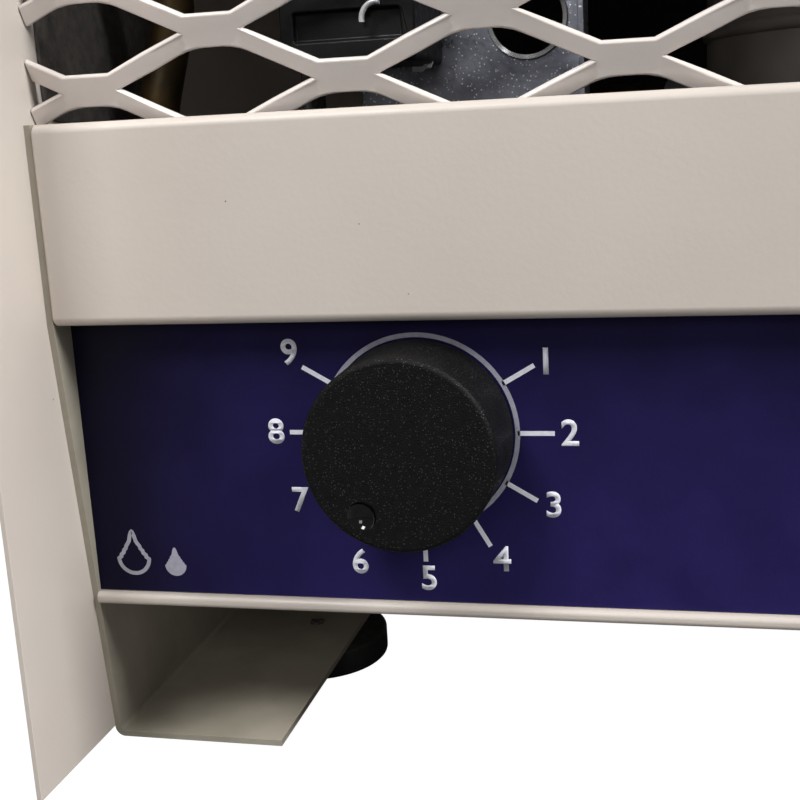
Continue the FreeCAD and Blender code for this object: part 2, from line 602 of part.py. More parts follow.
def fins(y0, y1, radius):
    """A pack of thin upright fins, pierced by the tube's rows."""
    fin = box(0, FIN_SHEET, y0, y1, COIL_LOW, COIL_HIGH)
    for z in coil_rows():
        fin = fin.cut(rod((-1, (y0 + y1) / 2, z), radius, 3, (1, 0, 0)))
    shapes = []
    for i in range(FIN_COUNT):
        one = fin.copy()
        one.translate(Vector(-COIL_HALF + 2 * COIL_HALF * i / (FIN_COUNT - 1) - FIN_SHEET / 2, 0, 0))
        shapes.append(one)
    return shapes


def coil_tube(y, radius):
    """One copper tube folded back and forth through the fins."""
    rows = coil_rows()
    reach = COIL_HALF + 3
    edges = []
    for i, z in enumerate(rows):
        start, end = (-reach, reach) if i % 2 == 0 else (reach, -reach)
        if i == 0:
            start = -COIL_HALF - 6
        if i == len(rows) - 1:
            end = COIL_HALF + 6
        edges.append(Part.makeLine(Vector(start, y, z), Vector(end, y, z)))
        if i + 1 < len(rows):
            half = (rows[i + 1] - z) / 2
            out = half if i % 2 == 0 else -half
            turn = [Vector(end, y, z), Vector(end + out, y, z + half), Vector(end, y, z + 2 * half)]
            edges.append(Part.Arc(*turn).toShape())
    ring = Part.Wire(Part.makeCircle(radius, Vector(-COIL_HALF - 6, y, rows[0]), Vector(1, 0, 0)))
    return Part.Wire(edges).makePipeShell([ring], True, True)


def drip_tray():
    """Moulded tray under both coils, falling to one outlet."""
    outer = box(-153, 153, -134, -56, 264, 286)
    inner = box(-151, 151, -132, -58, 266, 290)
    x, y = TRAY_OUTLET
    stub = rod((x, y, 252), 7, 14)
    tray = outer.cut(inner).fuse(stub)
    return tray.cut(rod((x, y, 250), 5, 20))


def bulkhead():
    """Shelf between the two bays, folded down at both sides, with holes for the pipes."""
    low = BULKHEAD_Z - 14
    side = INSIDE - SHEET / 2
    outline = [(-side, low), (-side, BULKHEAD_Z), (side, BULKHEAD_Z), (side, low)]
    shelf = folded(outline, SHEET, 1.0, "y", -134, 140)
    for x, y, r in PIPE_HOLES:
        shelf = shelf.cut(rod((x, y, 240), r, 30))
    return shelf


def coil_end_plates():
    """Two plates that carry both coils and close their ends."""
    shapes = []
    for x in (-COIL_HALF - 2.6, COIL_HALF + 1.4):
        plate = box(x, x + SHEET, -134, SHROUD_Y, 288, 470)
        for z in coil_rows():
            plate = plate.cut(rod((x - 2, EVAPORATOR_MID, z), 5.0, 6, (1, 0, 0)))
            plate = plate.cut(rod((x - 2, CONDENSER_MID, z), 4.3, 6, (1, 0, 0)))
        shapes.append(plate)
    return shapes


# ---- fan ----------------------------------------------------------------------------------------

def fan_shroud():
    """Plate behind the coils with a rolled ring round the fan."""
    low = BULKHEAD_Z + SHEET / 2
    plate = box(-INSIDE + 0.3, INSIDE - 0.3, SHROUD_Y, SHROUD_Y + SHEET, low, 488)
    ring = rod((0, SHROUD_Y, FAN_Z), FAN_RADIUS + 6.2, 22, (0, 1, 0))
    bore = rod((0, SHROUD_Y - 2, FAN_Z), FAN_RADIUS + 5, 30, (0, 1, 0))
    shroud = plate.fuse(ring).cut(bore)
    for x in BRACKET_FEET:
        shroud = shroud.cut(rod((x, SHROUD_Y - 2, FAN_Z), 2.0, 8, (0, 1, 0)))
    return shroud


def fan_blades():
    """Moulded five-blade fan."""
    hub = rod((0, SHROUD_Y + 4, FAN_Z), 24, 30, (0, 1, 0))
    rim = [e for e in hub.Edges if e.BoundBox.YMax < SHROUD_Y + 4.1]
    fan = hub.makeFillet(4.0, rim)
    for i in range(5):
        wires = []
        for radius, chord, pitch in ((20, 30, 42), (60, 58, 30), (FAN_RADIUS, 76, 22)):
            tilt = math.radians(pitch)
            along = Vector(math.cos(tilt), math.sin(tilt), 0) * (chord / 2)
            across = Vector(-math.sin(tilt), math.cos(tilt), 0) * 0.9
            corners = [along + across, -along + across, -along - across, along - across]
            corners = [c + Vector(0, SHROUD_Y + 19, radius) for c in corners]
            wires.append(Part.makePolygon(corners + corners[:1]))
        blade = Part.makeLoft(wires, True, True)
        blade = blade.common(rod((0, SHROUD_Y, 0), FAN_RADIUS, 40, (0, 1, 0)))
        blade.translate(Vector(0, 0, FAN_Z))
        blade.rotate(Vector(0, 0, FAN_Z), Vector(0, 1, 0), 72 * i)
        fan = fan.fuse(blade)
    return fan.cut(rod((0, SHROUD_Y, FAN_Z), SHAFT + 0.02, 60, (0, 1, 0)))


def motor_shaft():
    return rod((0, SHROUD_Y - 2, FAN_Z), SHAFT, 82, (0, 1, 0))


def fan_nut():
    """Six-sided nut that holds the fan on its shaft."""
    nut = prism(hexagon(0, FAN_Z, 7), "y", SHROUD_Y - 1, SHROUD_Y + 3.9)
    return nut.cut(rod((0, SHROUD_Y - 3, FAN_Z), SHAFT + 0.02, 10, (0, 1, 0)))


def fan_motor():
    """Enclosed fan motor with a bearing boss at the front."""
    y = SHROUD_Y + 44
    can = rod((0, y, FAN_Z), MOTOR_RADIUS, MOTOR_LONG, (0, 1, 0))
    rims = [e for e in can.Edges if e.BoundBox.YLength < 0.01]
    can = can.makeFillet(5.0, rims)
    boss = rod((0, y - 7, FAN_Z), 11, 9, (0, 1, 0))
    motor = can.fuse(boss).cut(rod((0, y - 9, FAN_Z), SHAFT + 0.05, 50, (0, 1, 0)))
    for x in MOTOR_SCREWS:
        motor = motor.cut(rod((x, y + 46, FAN_Z), 1.7, 12, (0, 1, 0)))
    return motor


def motor_bracket():
    """Strap folded round behind the motor, with both feet on the shroud."""
    back = SHROUD_Y + 44 + MOTOR_LONG + 1.0
    foot = SHROUD_Y + SHEET + 1.0
    outline = [(-136, foot), (-116, foot), (-116, back), (116, back), (116, foot), (136, foot)]
    strap = folded(outline, 2.0, 3.0, "z", FAN_Z - 14, FAN_Z + 14)
    for x in BRACKET_FEET:
        strap = strap.cut(rod((x, SHROUD_Y - 2, FAN_Z), 2.0, 12, (0, 1, 0)))
    for x in MOTOR_SCREWS:
        strap = strap.cut(rod((x, back - 5, FAN_Z), 2.1, 12, (0, 1, 0)))
    return strap


# ---- pipes --------------------------------------------------------------------------------------

def drain_spout():
    """Hose spout through the back panel."""
    y = BACK_Y
    body = rod((SPOUT_X, y - 12, SPOUT_Z), SPOUT_RADIUS + 1, 14, (0, 1, 0))
    flange = rod((SPOUT_X, y + SHEET, SPOUT_Z), 11, 2.4, (0, 1, 0))
    spout = rod((SPOUT_X, y + SHEET, SPOUT_Z), SPOUT_RADIUS, 18.5, (0, 1, 0))
    return body.fuse(flange).fuse(spout).cut(rod((SPOUT_X, y - 14, SPOUT_Z), SPOUT_BORE, 40, (0, 1, 0)))


def suction_pipe():
    """Cold pipe from the evaporator down the left side and round to the compressor."""
    low = coil_rows()[0]
    x, y, z = STUB_END
    before = (x + 40 * SUCTION_WAY[0], y + 40 * SUCTION_WAY[1], z)
    bend_x = PIPE_HOLES[0][0]
    route = [(-COIL_HALF - 6, EVAPORATOR_MID, low), (bend_x, EVAPORATOR_MID, low),
             (bend_x, EVAPORATOR_MID, 214),
             (-154, -105, 180), (-162, -112, 142), (-154, -60, 114), (-124, 34, 118), before, STUB_END]
    return tube(route, EVAPORATOR_TUBE, 22)


def discharge_pipe():
    """Hot pipe from the top of the compressor to the condenser's upper row."""
    high = coil_rows()[-1]
    route = [(COMPRESSOR_X, COMPRESSOR_Y, COMPRESSOR_HIGH + 10), (COMPRESSOR_X, COMPRESSOR_Y, 244),
             (90, 4, 246), (140, -40, 240), (164, -96, 244), (164, -96, 432), (164, CONDENSER_MID, high),
             (COIL_HALF + 6, CONDENSER_MID, high)]
    return tube(route, THIN_PIPE, 18)


def liquid_pipe():
    """Pipe from the condenser's lower row down to the filter drier."""
    low = coil_rows()[0]
    x, y = DRIER
    route = [(-COIL_HALF - 6, CONDENSER_MID, low), (-163.6, CONDENSER_MID, low), (-163.6, CONDENSER_MID, 256),
             (x, y, DRIER_HIGH + 12), (x, y, DRIER_HIGH)]
    return tube(route, THIN_PIPE, 14)


def filter_drier():
    """Spun copper capsule with coned ends."""
    x, y = DRIER
    low, high = DRIER_LOW, DRIER_HIGH
    outline = [(0, low), (3.2, low), (3.2, low + 3), (8.5, low + 9), (8.5, high - 9), (3.8, high - 3),
               (3.8, high), (0, high)]
    points = [Vector(r, 0, z) for r, z in outline]
    capsule = Part.Face(Part.makePolygon(points + points[:1])).revolve(Vector(0, 0, 0), Vector(0, 0, 1), 360)
    capsule.translate(Vector(x, y, 0))
    return capsule


def capillary_tube():
    """Thin tube from the drier to the evaporator's upper row."""
    high = coil_rows()[-1]
    x, y = DRIER
    route = [(x, y, DRIER_LOW), (x, y, DRIER_LOW - 7), (x + 16, y + 12, DRIER_LOW - 2), (-110, -34, 212),
             (-70, -58, 240), (40, -66, 250),
             (100, -84, 248), (150, -120, 246), (164, -126, 256), (164, -126, 436),
             (164, EVAPORATOR_MID, high), (COIL_HALF + 6, EVAPORATOR_MID, high)]
    return tube(route, CAPILLARY, 16)


def drain_hose():
    """Soft hose from the drip tray's outlet to the spout in the back."""
    route = [(*TRAY_OUTLET, 252), (*TRAY_OUTLET, 200), (136, -30, 140), (138, 40, 92),
             (SPOUT_X, 104, SPOUT_Z), (SPOUT_X, BACK_Y - 12, SPOUT_Z)]
    return tube(route, 7.0, 60)


def control_wires():
    """Insulated wires from the humidity control up into the relay."""
    shapes = []
    for i in range(3):
        y, low = -121 + i * 4.5, KNOB_Z + 4 + 3 * i
        route = [(KNOB_X - 17, y, low), (KNOB_X - 25, y, low), (KNOB_X - 25, y, 161)]
        shapes.append(tube(route, WIRE, 14))
    return shapes


# ---- feet and fasteners -------------------------------------------------------------------------

def rubber_feet():
    """Rubber discs with a seat for the screw's head in the tread."""
    shapes = []
    for x, y in FEET:
        foot = Part.makeCone(FOOT_RADIUS - 0.8, FOOT_RADIUS, FOOT_TOP, Vector(x, y, 0))
        rim = [e for e in foot.Edges if e.BoundBox.ZMax < 0.01]
        foot = foot.makeFillet(1.2, rim)
        shapes.append(foot.cut(rod((x, y, -1), 6.0, 5)).cut(rod((x, y, 0), FOOT_HOLE, 20)))
    return shapes


def foot_screws():
    return [pan_screw(x, y, 4.0, (0, 0, -1), 4.4, 2.4, 2.1, 5.4) for x, y in FEET]


def cover_screws():
    return [pan_screw(side * HALF, y, z, (side, 0, 0)) for side in (-1, 1) for y in COVER_SCREW_Y
            for z in COVER_SCREW_Z]


def handle_screws():
    return [pan_screw(x, y, BODY_TOP + 3.0, (0, 0, 1), 4.4, 2.8, 2.5, 8.0) for x, y in HANDLE_HOLES]


def inner_screws():
    shapes = [pan_screw(x, y, FLOOR_TOP + SHEET, (0, 0, 1), 3.4, 2.0, 1.6, 4.0) for x, y in PLATE_FIXINGS]
    shapes += [pan_screw(x, SHROUD_Y + SHEET + 2, FAN_Z, (0, 1, 0), length=4.0) for x in BRACKET_FEET]
    shapes += [pan_screw(x, SHROUD_Y + 46 + MOTOR_LONG, FAN_Z, (0, 1, 0), length=8.0) for x in MOTOR_SCREWS]
    return shapes


def guard_screws():
    y = BACK_Y + SHEET + 3.6
    return [pan_screw(x, y, z, (0, 1, 0), 3.6, 2.2, 1.6, 8.0) for x, z in guard_screw_places()]


def main():
    os.makedirs("parts", exist_ok=True)
    keep("wrap_cover", wrap_cover())
    keep("foot_rail_left", foot_rail(-1))
    keep("foot_rail_right", foot_rail(1))
    keep("base_tray", base_tray())
    keep("control_panel", control_panel())
    keep("control_label", control_label())
    keep("front_rail", rail(RAIL_LOW, RAIL_HIGH, CLEAR))
    keep("top_rail", rail(TOP_RAIL_LOW, BODY_TOP - SHEET, 166.0))
    keep("front_mesh", front_mesh())
    keep("back_panel", back_panel())
    keep("rear_guard", rear_guard())
    keep("handle_strap", handle_strap())
    keep("handle_grip", handle_grip())

    keep("control_knob", control_knob())
    keep("humidistat_shaft", rod((KNOB_X, LABEL_Y - 14.5, KNOB_Z), SHAFT_RADIUS, 22, (0, 1, 0)))
    keep("humidistat_body", humidistat_body())
    keep("humidistat_nut", humidistat_nut())
    keep("switch_bezel", switch_bezel())
    keep("switch_rocker", switch_rocker())
    keep("switch_pin", rod((SWITCH_X - 6.4, LABEL_Y + 2, KNOB_Z), 1.0, 12.8, (1, 0, 0)))
    keep("lamp_lens", lamp_lens())
    keep("lamp_bezel", lamp_bezel())

    keep("electrics_plate", electrics_plate())
    keep("relay", relay())
    keep("defrost_timer", defrost_timer())
    keep("terminal_block", terminal_block())
    keep("run_capacitor", run_capacitor())
    keep("capacitor_clip", capacitor_clip())
    keep("cable_gland", cable_gland())
    keep("control_wires", *control_wires())

    keep("compressor", compressor())
    keep("compressor_cap", compressor_cap())
    keep("compressor_grommets", *compressor_grommets())
    keep("compressor_bolts", *compressor_bolts())
    keep("evaporator_fins", *fins(*EVAPORATOR_Y, EVAPORATOR_TUBE + 0.05))
    keep("evaporator_tube", coil_tube(EVAPORATOR_MID, EVAPORATOR_TUBE))
    keep("condenser_fins", *fins(*CONDENSER_Y, CONDENSER_TUBE + 0.05))
    keep("condenser_tube", coil_tube(CONDENSER_MID, CONDENSER_TUBE))
    keep("coil_end_plates", *coil_end_plates())
    keep("drip_tray", drip_tray())
    keep("bulkhead", bulkhead())

    keep("fan_shroud", fan_shroud())
    keep("fan_blades", fan_blades())
    keep("motor_shaft", motor_shaft())
    keep("fan_nut", fan_nut())
    keep("fan_motor", fan_motor())
    keep("motor_bracket", motor_bracket())

    keep("suction_pipe", suction_pipe())
    keep("discharge_pipe", discharge_pipe())
    keep("liquid_pipe", liquid_pipe())
    keep("filter_drier", filter_drier())
    keep("capillary_tube", capillary_tube())
    keep("drain_hose", drain_hose())
    keep("drain_spout", drain_spout())

    keep("rubber_feet", *rubber_feet())
    keep("foot_screws", *foot_screws())
    keep("cover_screws", *cover_screws())
    keep("handle_screws", *handle_screws())
    keep("inner_screws", *inner_screws())
    keep("guard_screws", *guard_screws())


if __name__ == "__main__":
    main()
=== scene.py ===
import bpy
import math
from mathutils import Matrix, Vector


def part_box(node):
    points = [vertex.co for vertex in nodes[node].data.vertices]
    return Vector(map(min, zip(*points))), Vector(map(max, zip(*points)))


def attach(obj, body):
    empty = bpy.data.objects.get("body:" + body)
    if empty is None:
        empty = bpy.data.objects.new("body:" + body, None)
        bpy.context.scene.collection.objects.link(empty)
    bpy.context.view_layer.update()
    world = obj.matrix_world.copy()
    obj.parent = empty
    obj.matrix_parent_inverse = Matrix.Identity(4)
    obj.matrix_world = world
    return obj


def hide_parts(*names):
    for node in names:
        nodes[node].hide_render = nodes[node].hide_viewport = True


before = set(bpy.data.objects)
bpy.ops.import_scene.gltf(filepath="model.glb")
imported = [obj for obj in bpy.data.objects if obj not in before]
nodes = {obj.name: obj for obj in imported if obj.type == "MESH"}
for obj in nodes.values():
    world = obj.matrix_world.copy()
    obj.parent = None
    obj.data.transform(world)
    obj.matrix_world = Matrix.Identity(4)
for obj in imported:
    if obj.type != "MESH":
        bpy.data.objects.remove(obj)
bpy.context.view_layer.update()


# ---- studio -------------------------------------------------------------------------------------
# A white bench in a pale room, with a soft key lamp high at the left, a large one far off at the
# right, a weak one in front and one behind. The camera stands close to the dryer's lower left corner.

def srgb(red, green, blue):
    """A paint maker's 0-255 colour as the shader's linear one."""
    steps = [value / 255 for value in (red, green, blue)]
    return (*[s / 12.92 if s < 0.04045 else ((s + 0.055) / 1.055) ** 2.4 for s in steps], 1.0)


def add_node(material, kind, **values):
    made = material.node_tree.nodes.new("ShaderNode" + kind)
    for name, value in values.items():
        made.inputs[name.replace("_", " ")].default_value = value
    return made


def link(material, source, outlet, target, inlet):
    material.node_tree.links.new(source.outputs[outlet], target.inputs[inlet])


def ramp(material, source, outlet, stops):
    """A colour ramp through (position, colour) stops, driven by one output."""
    made = add_node(material, "ValToRGB")
    bar = made.color_ramp.elements
    for i, (position, colour) in enumerate(stops):
        stop = bar[i] if i < 2 else bar.new(position)
        stop.position = position
        stop.color = colour
    link(material, source, outlet, made, "Fac")
    return made


def finish(name, low, high, blotch, rough, grain, depth, metal=0.0, shine=0.5):
    """A surface whose tone drifts between two colours in blotches, with a fine grain in its height.

    blotch and grain are features per metre, rough is (smoothest, roughest), depth is in metres."""
    made = bpy.data.materials.new(name)
    made.use_nodes = True
    shader = made.node_tree.nodes["Principled BSDF"]
    shader.inputs["Metallic"].default_value = metal
    shader.inputs["Specular IOR Level"].default_value = shine
    place = add_node(made, "TexCoord")
    tone = add_node(made, "TexNoise", Scale=blotch, Detail=4.0)
    link(made, place, "Object", tone, "Vector")
    colours = ramp(made, tone, "Fac", [(0.36, low), (0.64, high)])
    colours.name = "tone"
    link(made, colours, "Color", shader, "Base Color")
    wear = add_node(made, "TexNoise", Scale=blotch * 3.1, Detail=3.0)
    link(made, place, "Object", wear, "Vector")
    spread = add_node(made, "MapRange", From_Min=0.3, From_Max=0.7, To_Min=rough[0], To_Max=rough[1])
    link(made, wear, "Fac", spread, "Value")
    link(made, spread, "Result", shader, "Roughness")
    height = add_node(made, "TexNoise", Scale=grain, Detail=2.0)
    height.name = "grain"
    link(made, place, "Object", height, "Vector")
    bump = add_node(made, "Bump", Distance=depth)
    bump.name = "relief"
    link(made, height, "Fac", bump, "Height")
    link(made, bump, "Normal", shader, "Normal")
    return made


def coat(piece, material):
    """Gives a piece or a CAD node one finish all over."""
    if not piece.material_slots:
        piece.data.materials.append(material)
    for held in piece.material_slots:
        held.material = material
    return piece


CAMERA_AT = (-0.03526, -0.37964, 0.14631)
CAMERA_TURN = [math.radians(turn) for turn in (77.54, 2.86, 12.43)]
BENCH_SIZE = 6.0

bpy.ops.object.select_all(action="DESELECT")
bpy.ops.object.camera_add(location=CAMERA_AT, rotation=CAMERA_TURN)
camera = bpy.context.object
camera.data.lens = 54.34
camera.data.shift_x = -0.0371
camera.data.shift_y = -0.0025
camera.data.clip_start = 0.02
bpy.context.scene.camera = camera
bpy.context.scene.view_settings.view_transform = "Standard"


def softbox(name, at, towards, size, power):
    bpy.ops.object.light_add(type="AREA", location=at)
    lamp = bpy.context.object
    lamp.name = name
    lamp.rotation_euler = (Vector(towards) - Vector(at)).to_track_quat("-Z", "Y").to_euler()
    lamp.data.size = size
    lamp.data.energy = power


softbox("key_softbox", (-0.467, -0.849, 1.057), (-0.09, -0.14, 0.1), 0.34, 9.6)
softbox("side_softbox", (1.57, -0.444, 1.62), (-0.17, -0.15, 0.08), 0.9, 82.0)
softbox("back_softbox", (0.55, 1.5, 0.9), (0.0, 0.15, 0.25), 0.8, 14.0)
softbox("front_softbox", (-0.10, -0.95, 0.42), (-0.09, -0.14, 0.17), 0.25, 1.0)

ROOM_LIGHT, ROOM_SEEN = 0.19, 1.0

room = bpy.data.worlds.new("pale_room")
room.use_nodes = True
bpy.context.scene.world = room
wash = room.node_tree.nodes["Background"]
wash.inputs["Color"].default_value = (1.0, 0.99, 0.98, 1.0)
seen = room.node_tree.nodes.new("ShaderNodeLightPath")
level = room.node_tree.nodes.new("ShaderNodeMapRange")
level.inputs["To Min"].default_value = ROOM_LIGHT
level.inputs["To Max"].default_value = ROOM_SEEN
room.node_tree.links.new(seen.outputs["Is Camera Ray"], level.inputs["Value"])
room.node_tree.links.new(level.outputs["Result"], wash.inputs["Strength"])

bpy.ops.mesh.primitive_plane_add(size=BENCH_SIZE)
bench = bpy.context.object
bench.name = "bench_top"
white_bench = finish("white_bench", srgb(78, 77, 76), srgb(84, 83, 82), 3.0, (0.55, 0.7), 900, 0.00002)
shine = white_bench.node_tree.nodes["Principled BSDF"]
shine.inputs["Emission Color"].default_value = (1, 1, 1, 1)
seen = add_node(white_bench, "LightPath")
link(white_bench, seen, "Is Camera Ray", shine, "Emission Strength")
coat(bench, white_bench)


# ---- wrap-round cover ---------------------------------------------------------------------------
# One sheet of 1.2 mm steel, folded over both sides and the top, and powder coated in warm cream.
# Its front edge stands forward of the controls as a hood. Eight screws hold it to the foot rails.

def select_only(piece):
    bpy.ops.object.select_all(action="DESELECT")
    piece.select_set(True)
    bpy.context.view_layer.objects.active = piece


def apply_modifier(piece, kind, **settings):
    select_only(piece)
    made = piece.modifiers.new(kind.lower(), kind)
    for name, value in settings.items():
        setattr(made, name, value)
    bpy.ops.object.modifier_apply(modifier=made.name)


def soften(piece, width, steps=2, sharp=32):
    """Rounds a piece's sharp edges and shades its flats flat."""
    select_only(piece)
    bpy.ops.object.shade_smooth_by_angle(angle=math.radians(sharp))
    if width:
        apply_modifier(piece, "BEVEL", width=width, segments=steps, limit_method="ANGLE",
                       angle_limit=math.radians(sharp), use_clamp_overlap=True, miter_outer="MITER_ARC")
        select_only(piece)
        bpy.ops.object.shade_smooth_by_angle(angle=math.radians(60))
    apply_modifier(piece, "WEIGHTED_NORMAL", keep_sharp=True)


def trade(piece, material, slot, body, *replaced):
    """Finishes a piece, hangs it on its body, and lets it stand for CAD nodes."""
    coat(piece, material)
    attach(piece, body)
    if replaced:
        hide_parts(*replaced)
    return piece


def dressed(node, name, width, material, slot, body="casing", steps=2, sharp=32):
    """A CAD node's own shape with its edges rounded as the real coating or moulding rounds them."""
    piece = bpy.data.objects.new(name, nodes[node].data.copy())
    bpy.context.scene.collection.objects.link(piece)
    select_only(piece)
    bpy.ops.object.mode_set(mode="EDIT")
    bpy.ops.mesh.select_all(action="SELECT")
    bpy.ops.mesh.customdata_custom_splitnormals_clear()
    bpy.ops.mesh.remove_doubles(threshold=0.00001)
    bpy.ops.mesh.dissolve_limited(angle_limit=math.radians(0.5))
    bpy.ops.object.mode_set(mode="OBJECT")
    soften(piece, width, steps, sharp)
    return trade(piece, material, slot, body, node)


def specks(material, colour, per_metre, radius):
    """Scatters tiny dots in a finish, each in one cell of its own: dirt on the paint, spangle on the zinc,
    painted glints on the knob's grain.
    """
    tree = material.node_tree
    shader = tree.nodes["Principled BSDF"]
    ground = shader.inputs["Base Color"].links[0].from_node
    place = add_node(material, "TexCoord")
    cells = add_node(material, "TexVoronoi", Scale=per_metre)
    link(material, place, "Object", cells, "Vector")
    dot = add_node(material, "MapRange", From_Min=radius * per_metre * 0.6, From_Max=radius * per_metre,
                   To_Min=1.0, To_Max=0.0)
    link(material, cells, "Distance", dot, "Value")
    over = add_node(material, "MixRGB", Color2=colour)
    link(material, dot, "Result", over, "Fac")
    link(material, ground, "Color", over, "Color1")
    link(material, over, "Color", shader, "Base Color")
    return material


cream_paint = finish("cream_powder_coat", srgb(202, 192, 183), srgb(206, 197, 188),
                     22, (0.36, 0.46), 820, 0.00003)
specks(cream_paint, srgb(58, 50, 44), 90, 0.0002)
# The foot rails take a darker copy of the cream coat: painted shade for the shadow under the body.
shaded_rail_paint = finish("shaded_cream_coat", srgb(150, 144, 130), srgb(164, 157, 143),
                     60, (0.5, 0.65), 820, 0.00004)

dressed("wrap_cover", "painted_cover", 0.0004, cream_paint, "cream_paint", steps=3)
for side in ("left", "right"):
    dressed("foot_rail_" + side, "painted_foot_rail_" + side, 0.0005, shaded_rail_paint, "cream_paint", steps=3)


# ---- rubber feet --------------------------------------------------------------------------------
# Four moulded rubber discs under the rail flanges. Each has a chamfered tread and a deep seat in
# its underside for the pan-head screw that holds it.

FOOT_RADIUS = 0.0200
FOOT_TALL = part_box("rubber_feet")[1].z
SEAT_RADIUS, SEAT_DEEP = 0.0060, 0.0039
FOOT_INSET, FOOT_EDGE = 0.0012, 0.0009
FOOT_LOW, FOOT_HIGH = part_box("rubber_feet")
FOOT_AT = [(x, y) for x in (FOOT_LOW.x + FOOT_RADIUS, FOOT_HIGH.x - FOOT_RADIUS)
           for y in (FOOT_LOW.y + FOOT_RADIUS, FOOT_HIGH.y - FOOT_RADIUS)]


def choose(piece, kind, test):
    """Selects a piece's vertices, edges or faces whose middle passes the test, in edit mode."""
    bpy.ops.object.mode_set(mode="EDIT")
    bpy.ops.mesh.select_mode(type={"vertices": "VERT", "edges": "EDGE", "polygons": "FACE"}[kind])
    bpy.ops.mesh.select_all(action="DESELECT")
    bpy.ops.object.mode_set(mode="OBJECT")
    points = [piece.matrix_world @ v.co for v in piece.data.vertices]
    for item in getattr(piece.data, kind):
        held = [points[item.index]] if kind == "vertices" else [points[i] for i in item.vertices]
        item.select = bool(test(sum(held, Vector()) / len(held)))
    bpy.ops.object.mode_set(mode="EDIT")


def settle(piece):
    """Leaves edit mode and puts a piece's place, turn and scale into its mesh."""
    bpy.ops.object.mode_set(mode="OBJECT")
    select_only(piece)
    bpy.ops.object.transform_apply(location=True, rotation=True, scale=True)
    return piece


def twin(piece, name, shift):
    """A copy with a mesh of its own, moved within the mesh."""
    select_only(piece)
    bpy.ops.object.duplicate(linked=False)
    made = bpy.context.object
    made.name = name
    made.location = shift
    return settle(made)


black_rubber = finish("moulded_rubber", srgb(22, 22, 22), srgb(34, 33, 32),
                      160, (0.55, 0.75), 1500, 0.00004)

x, y = FOOT_AT[0]
bpy.ops.mesh.primitive_cylinder_add(vertices=64, radius=FOOT_RADIUS, depth=FOOT_TALL,
                                    location=(x, y, FOOT_TALL / 2))
foot = bpy.context.object
foot.name = "rubber_foot_1"
choose(foot, "polygons", lambda at: at.z < 0.0001)
bpy.ops.mesh.inset(thickness=FOOT_RADIUS - SEAT_RADIUS)
bpy.ops.mesh.extrude_region_move(TRANSFORM_OT_translate={"value": (0, 0, SEAT_DEEP)})
choose(foot, "polygons", lambda at: at.z > FOOT_TALL - 0.0001)
bpy.ops.mesh.inset(thickness=FOOT_INSET)
settle(foot)
soften(foot, FOOT_EDGE, 3)
feet = [foot]
for i, (fx, fy) in enumerate(FOOT_AT[1:]):
    feet.append(twin(foot, "rubber_foot_%d" % (i + 2), (fx - x, fy - y, 0)))
for one in feet:
    trade(one, black_rubber, "rubber", "casing", "rubber_feet")

bright_zinc = finish("bright_zinc", srgb(150, 152, 156), srgb(186, 188, 190),
                     300, (0.22, 0.4), 2400, 0.00001, 1.0)
dressed("foot_screws", "foot_screw_heads", 0.0002, bright_zinc, "zinc_plate")
dressed("cover_screws", "cover_screw_heads", 0.0002, bright_zinc, "zinc_plate")


# ---- base tray and control panel ----------------------------------------------------------------
# The tray is the floor of the body, folded up at both sides and spot-welded to the foot rails. The
# panel in front of it is one folded sheet whose lower edge is rolled forward as a lip.

dressed("base_tray", "painted_base_tray", 0.0004, cream_paint, "cream_paint")
dressed("control_panel", "painted_control_panel", 0.0004, cream_paint, "cream_paint", steps=3)


# ---- control label ------------------------------------------------------------------------------
# A dark blue printed film glued to the panel, with the dial's ring, marks and numbers screened on it in
# pale ink. Two plain drops stand for moisture. The film's colour is darker towards its left end and its
# top and lighter lower down: painted shadow of the cover and the rail, and painted light below them.

DIAL_X, DIAL_Z = -0.094, 0.084
FILM_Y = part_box("control_label")[0].y
INK_THICK = 0.00005
RING_RADIUS, RING_WIDE = 0.0211, 0.0010
MARK_END, MARK_WIDE = 0.02885, 0.0010
SHORTER = 0.0016           # marks 6 and 7 stop short
FIGURE_SIZE, FIGURE_BOLD = 0.0077, 0.00017
# Painted shadow: the cover darkens the film's left end and the rail darkens its top; lower down the film is
# brightened as painted light.
SHADE_LEFT_START, SHADE_LEFT_END, SHADE_LEFT_DARKEST = -0.172, -0.118, 0.2
SHADE_TOP_START, SHADE_TOP_END, SHADE_TOP_DARKEST, LIGHT_LOW_BRIGHTEST = 0.112, 0.06, 0.85, 1.5
MARK_TURNS = {1: 30, 2: 0, 3: -30.5, 4: -60, 5: -90, 6: -120, 7: -150, 8: 180, 9: 150}
NUMBERS = {1: (27.4, 15.3), 2: (32.0, 0.2), 3: (28.2, -15.4), 4: (16.8, -27.7), 5: (0.5, -32.6),
           6: (-14.8, -29.2), 7: (-27.5, -15.3), 8: (-32.0, 0.2), 9: (-27.7, 17.7)}

blue_film = finish("blue_printed_film", srgb(25, 20, 62), srgb(29, 24, 70),
                   60, (0.42, 0.55), 1400, 0.00003, 0.0, 0.12)
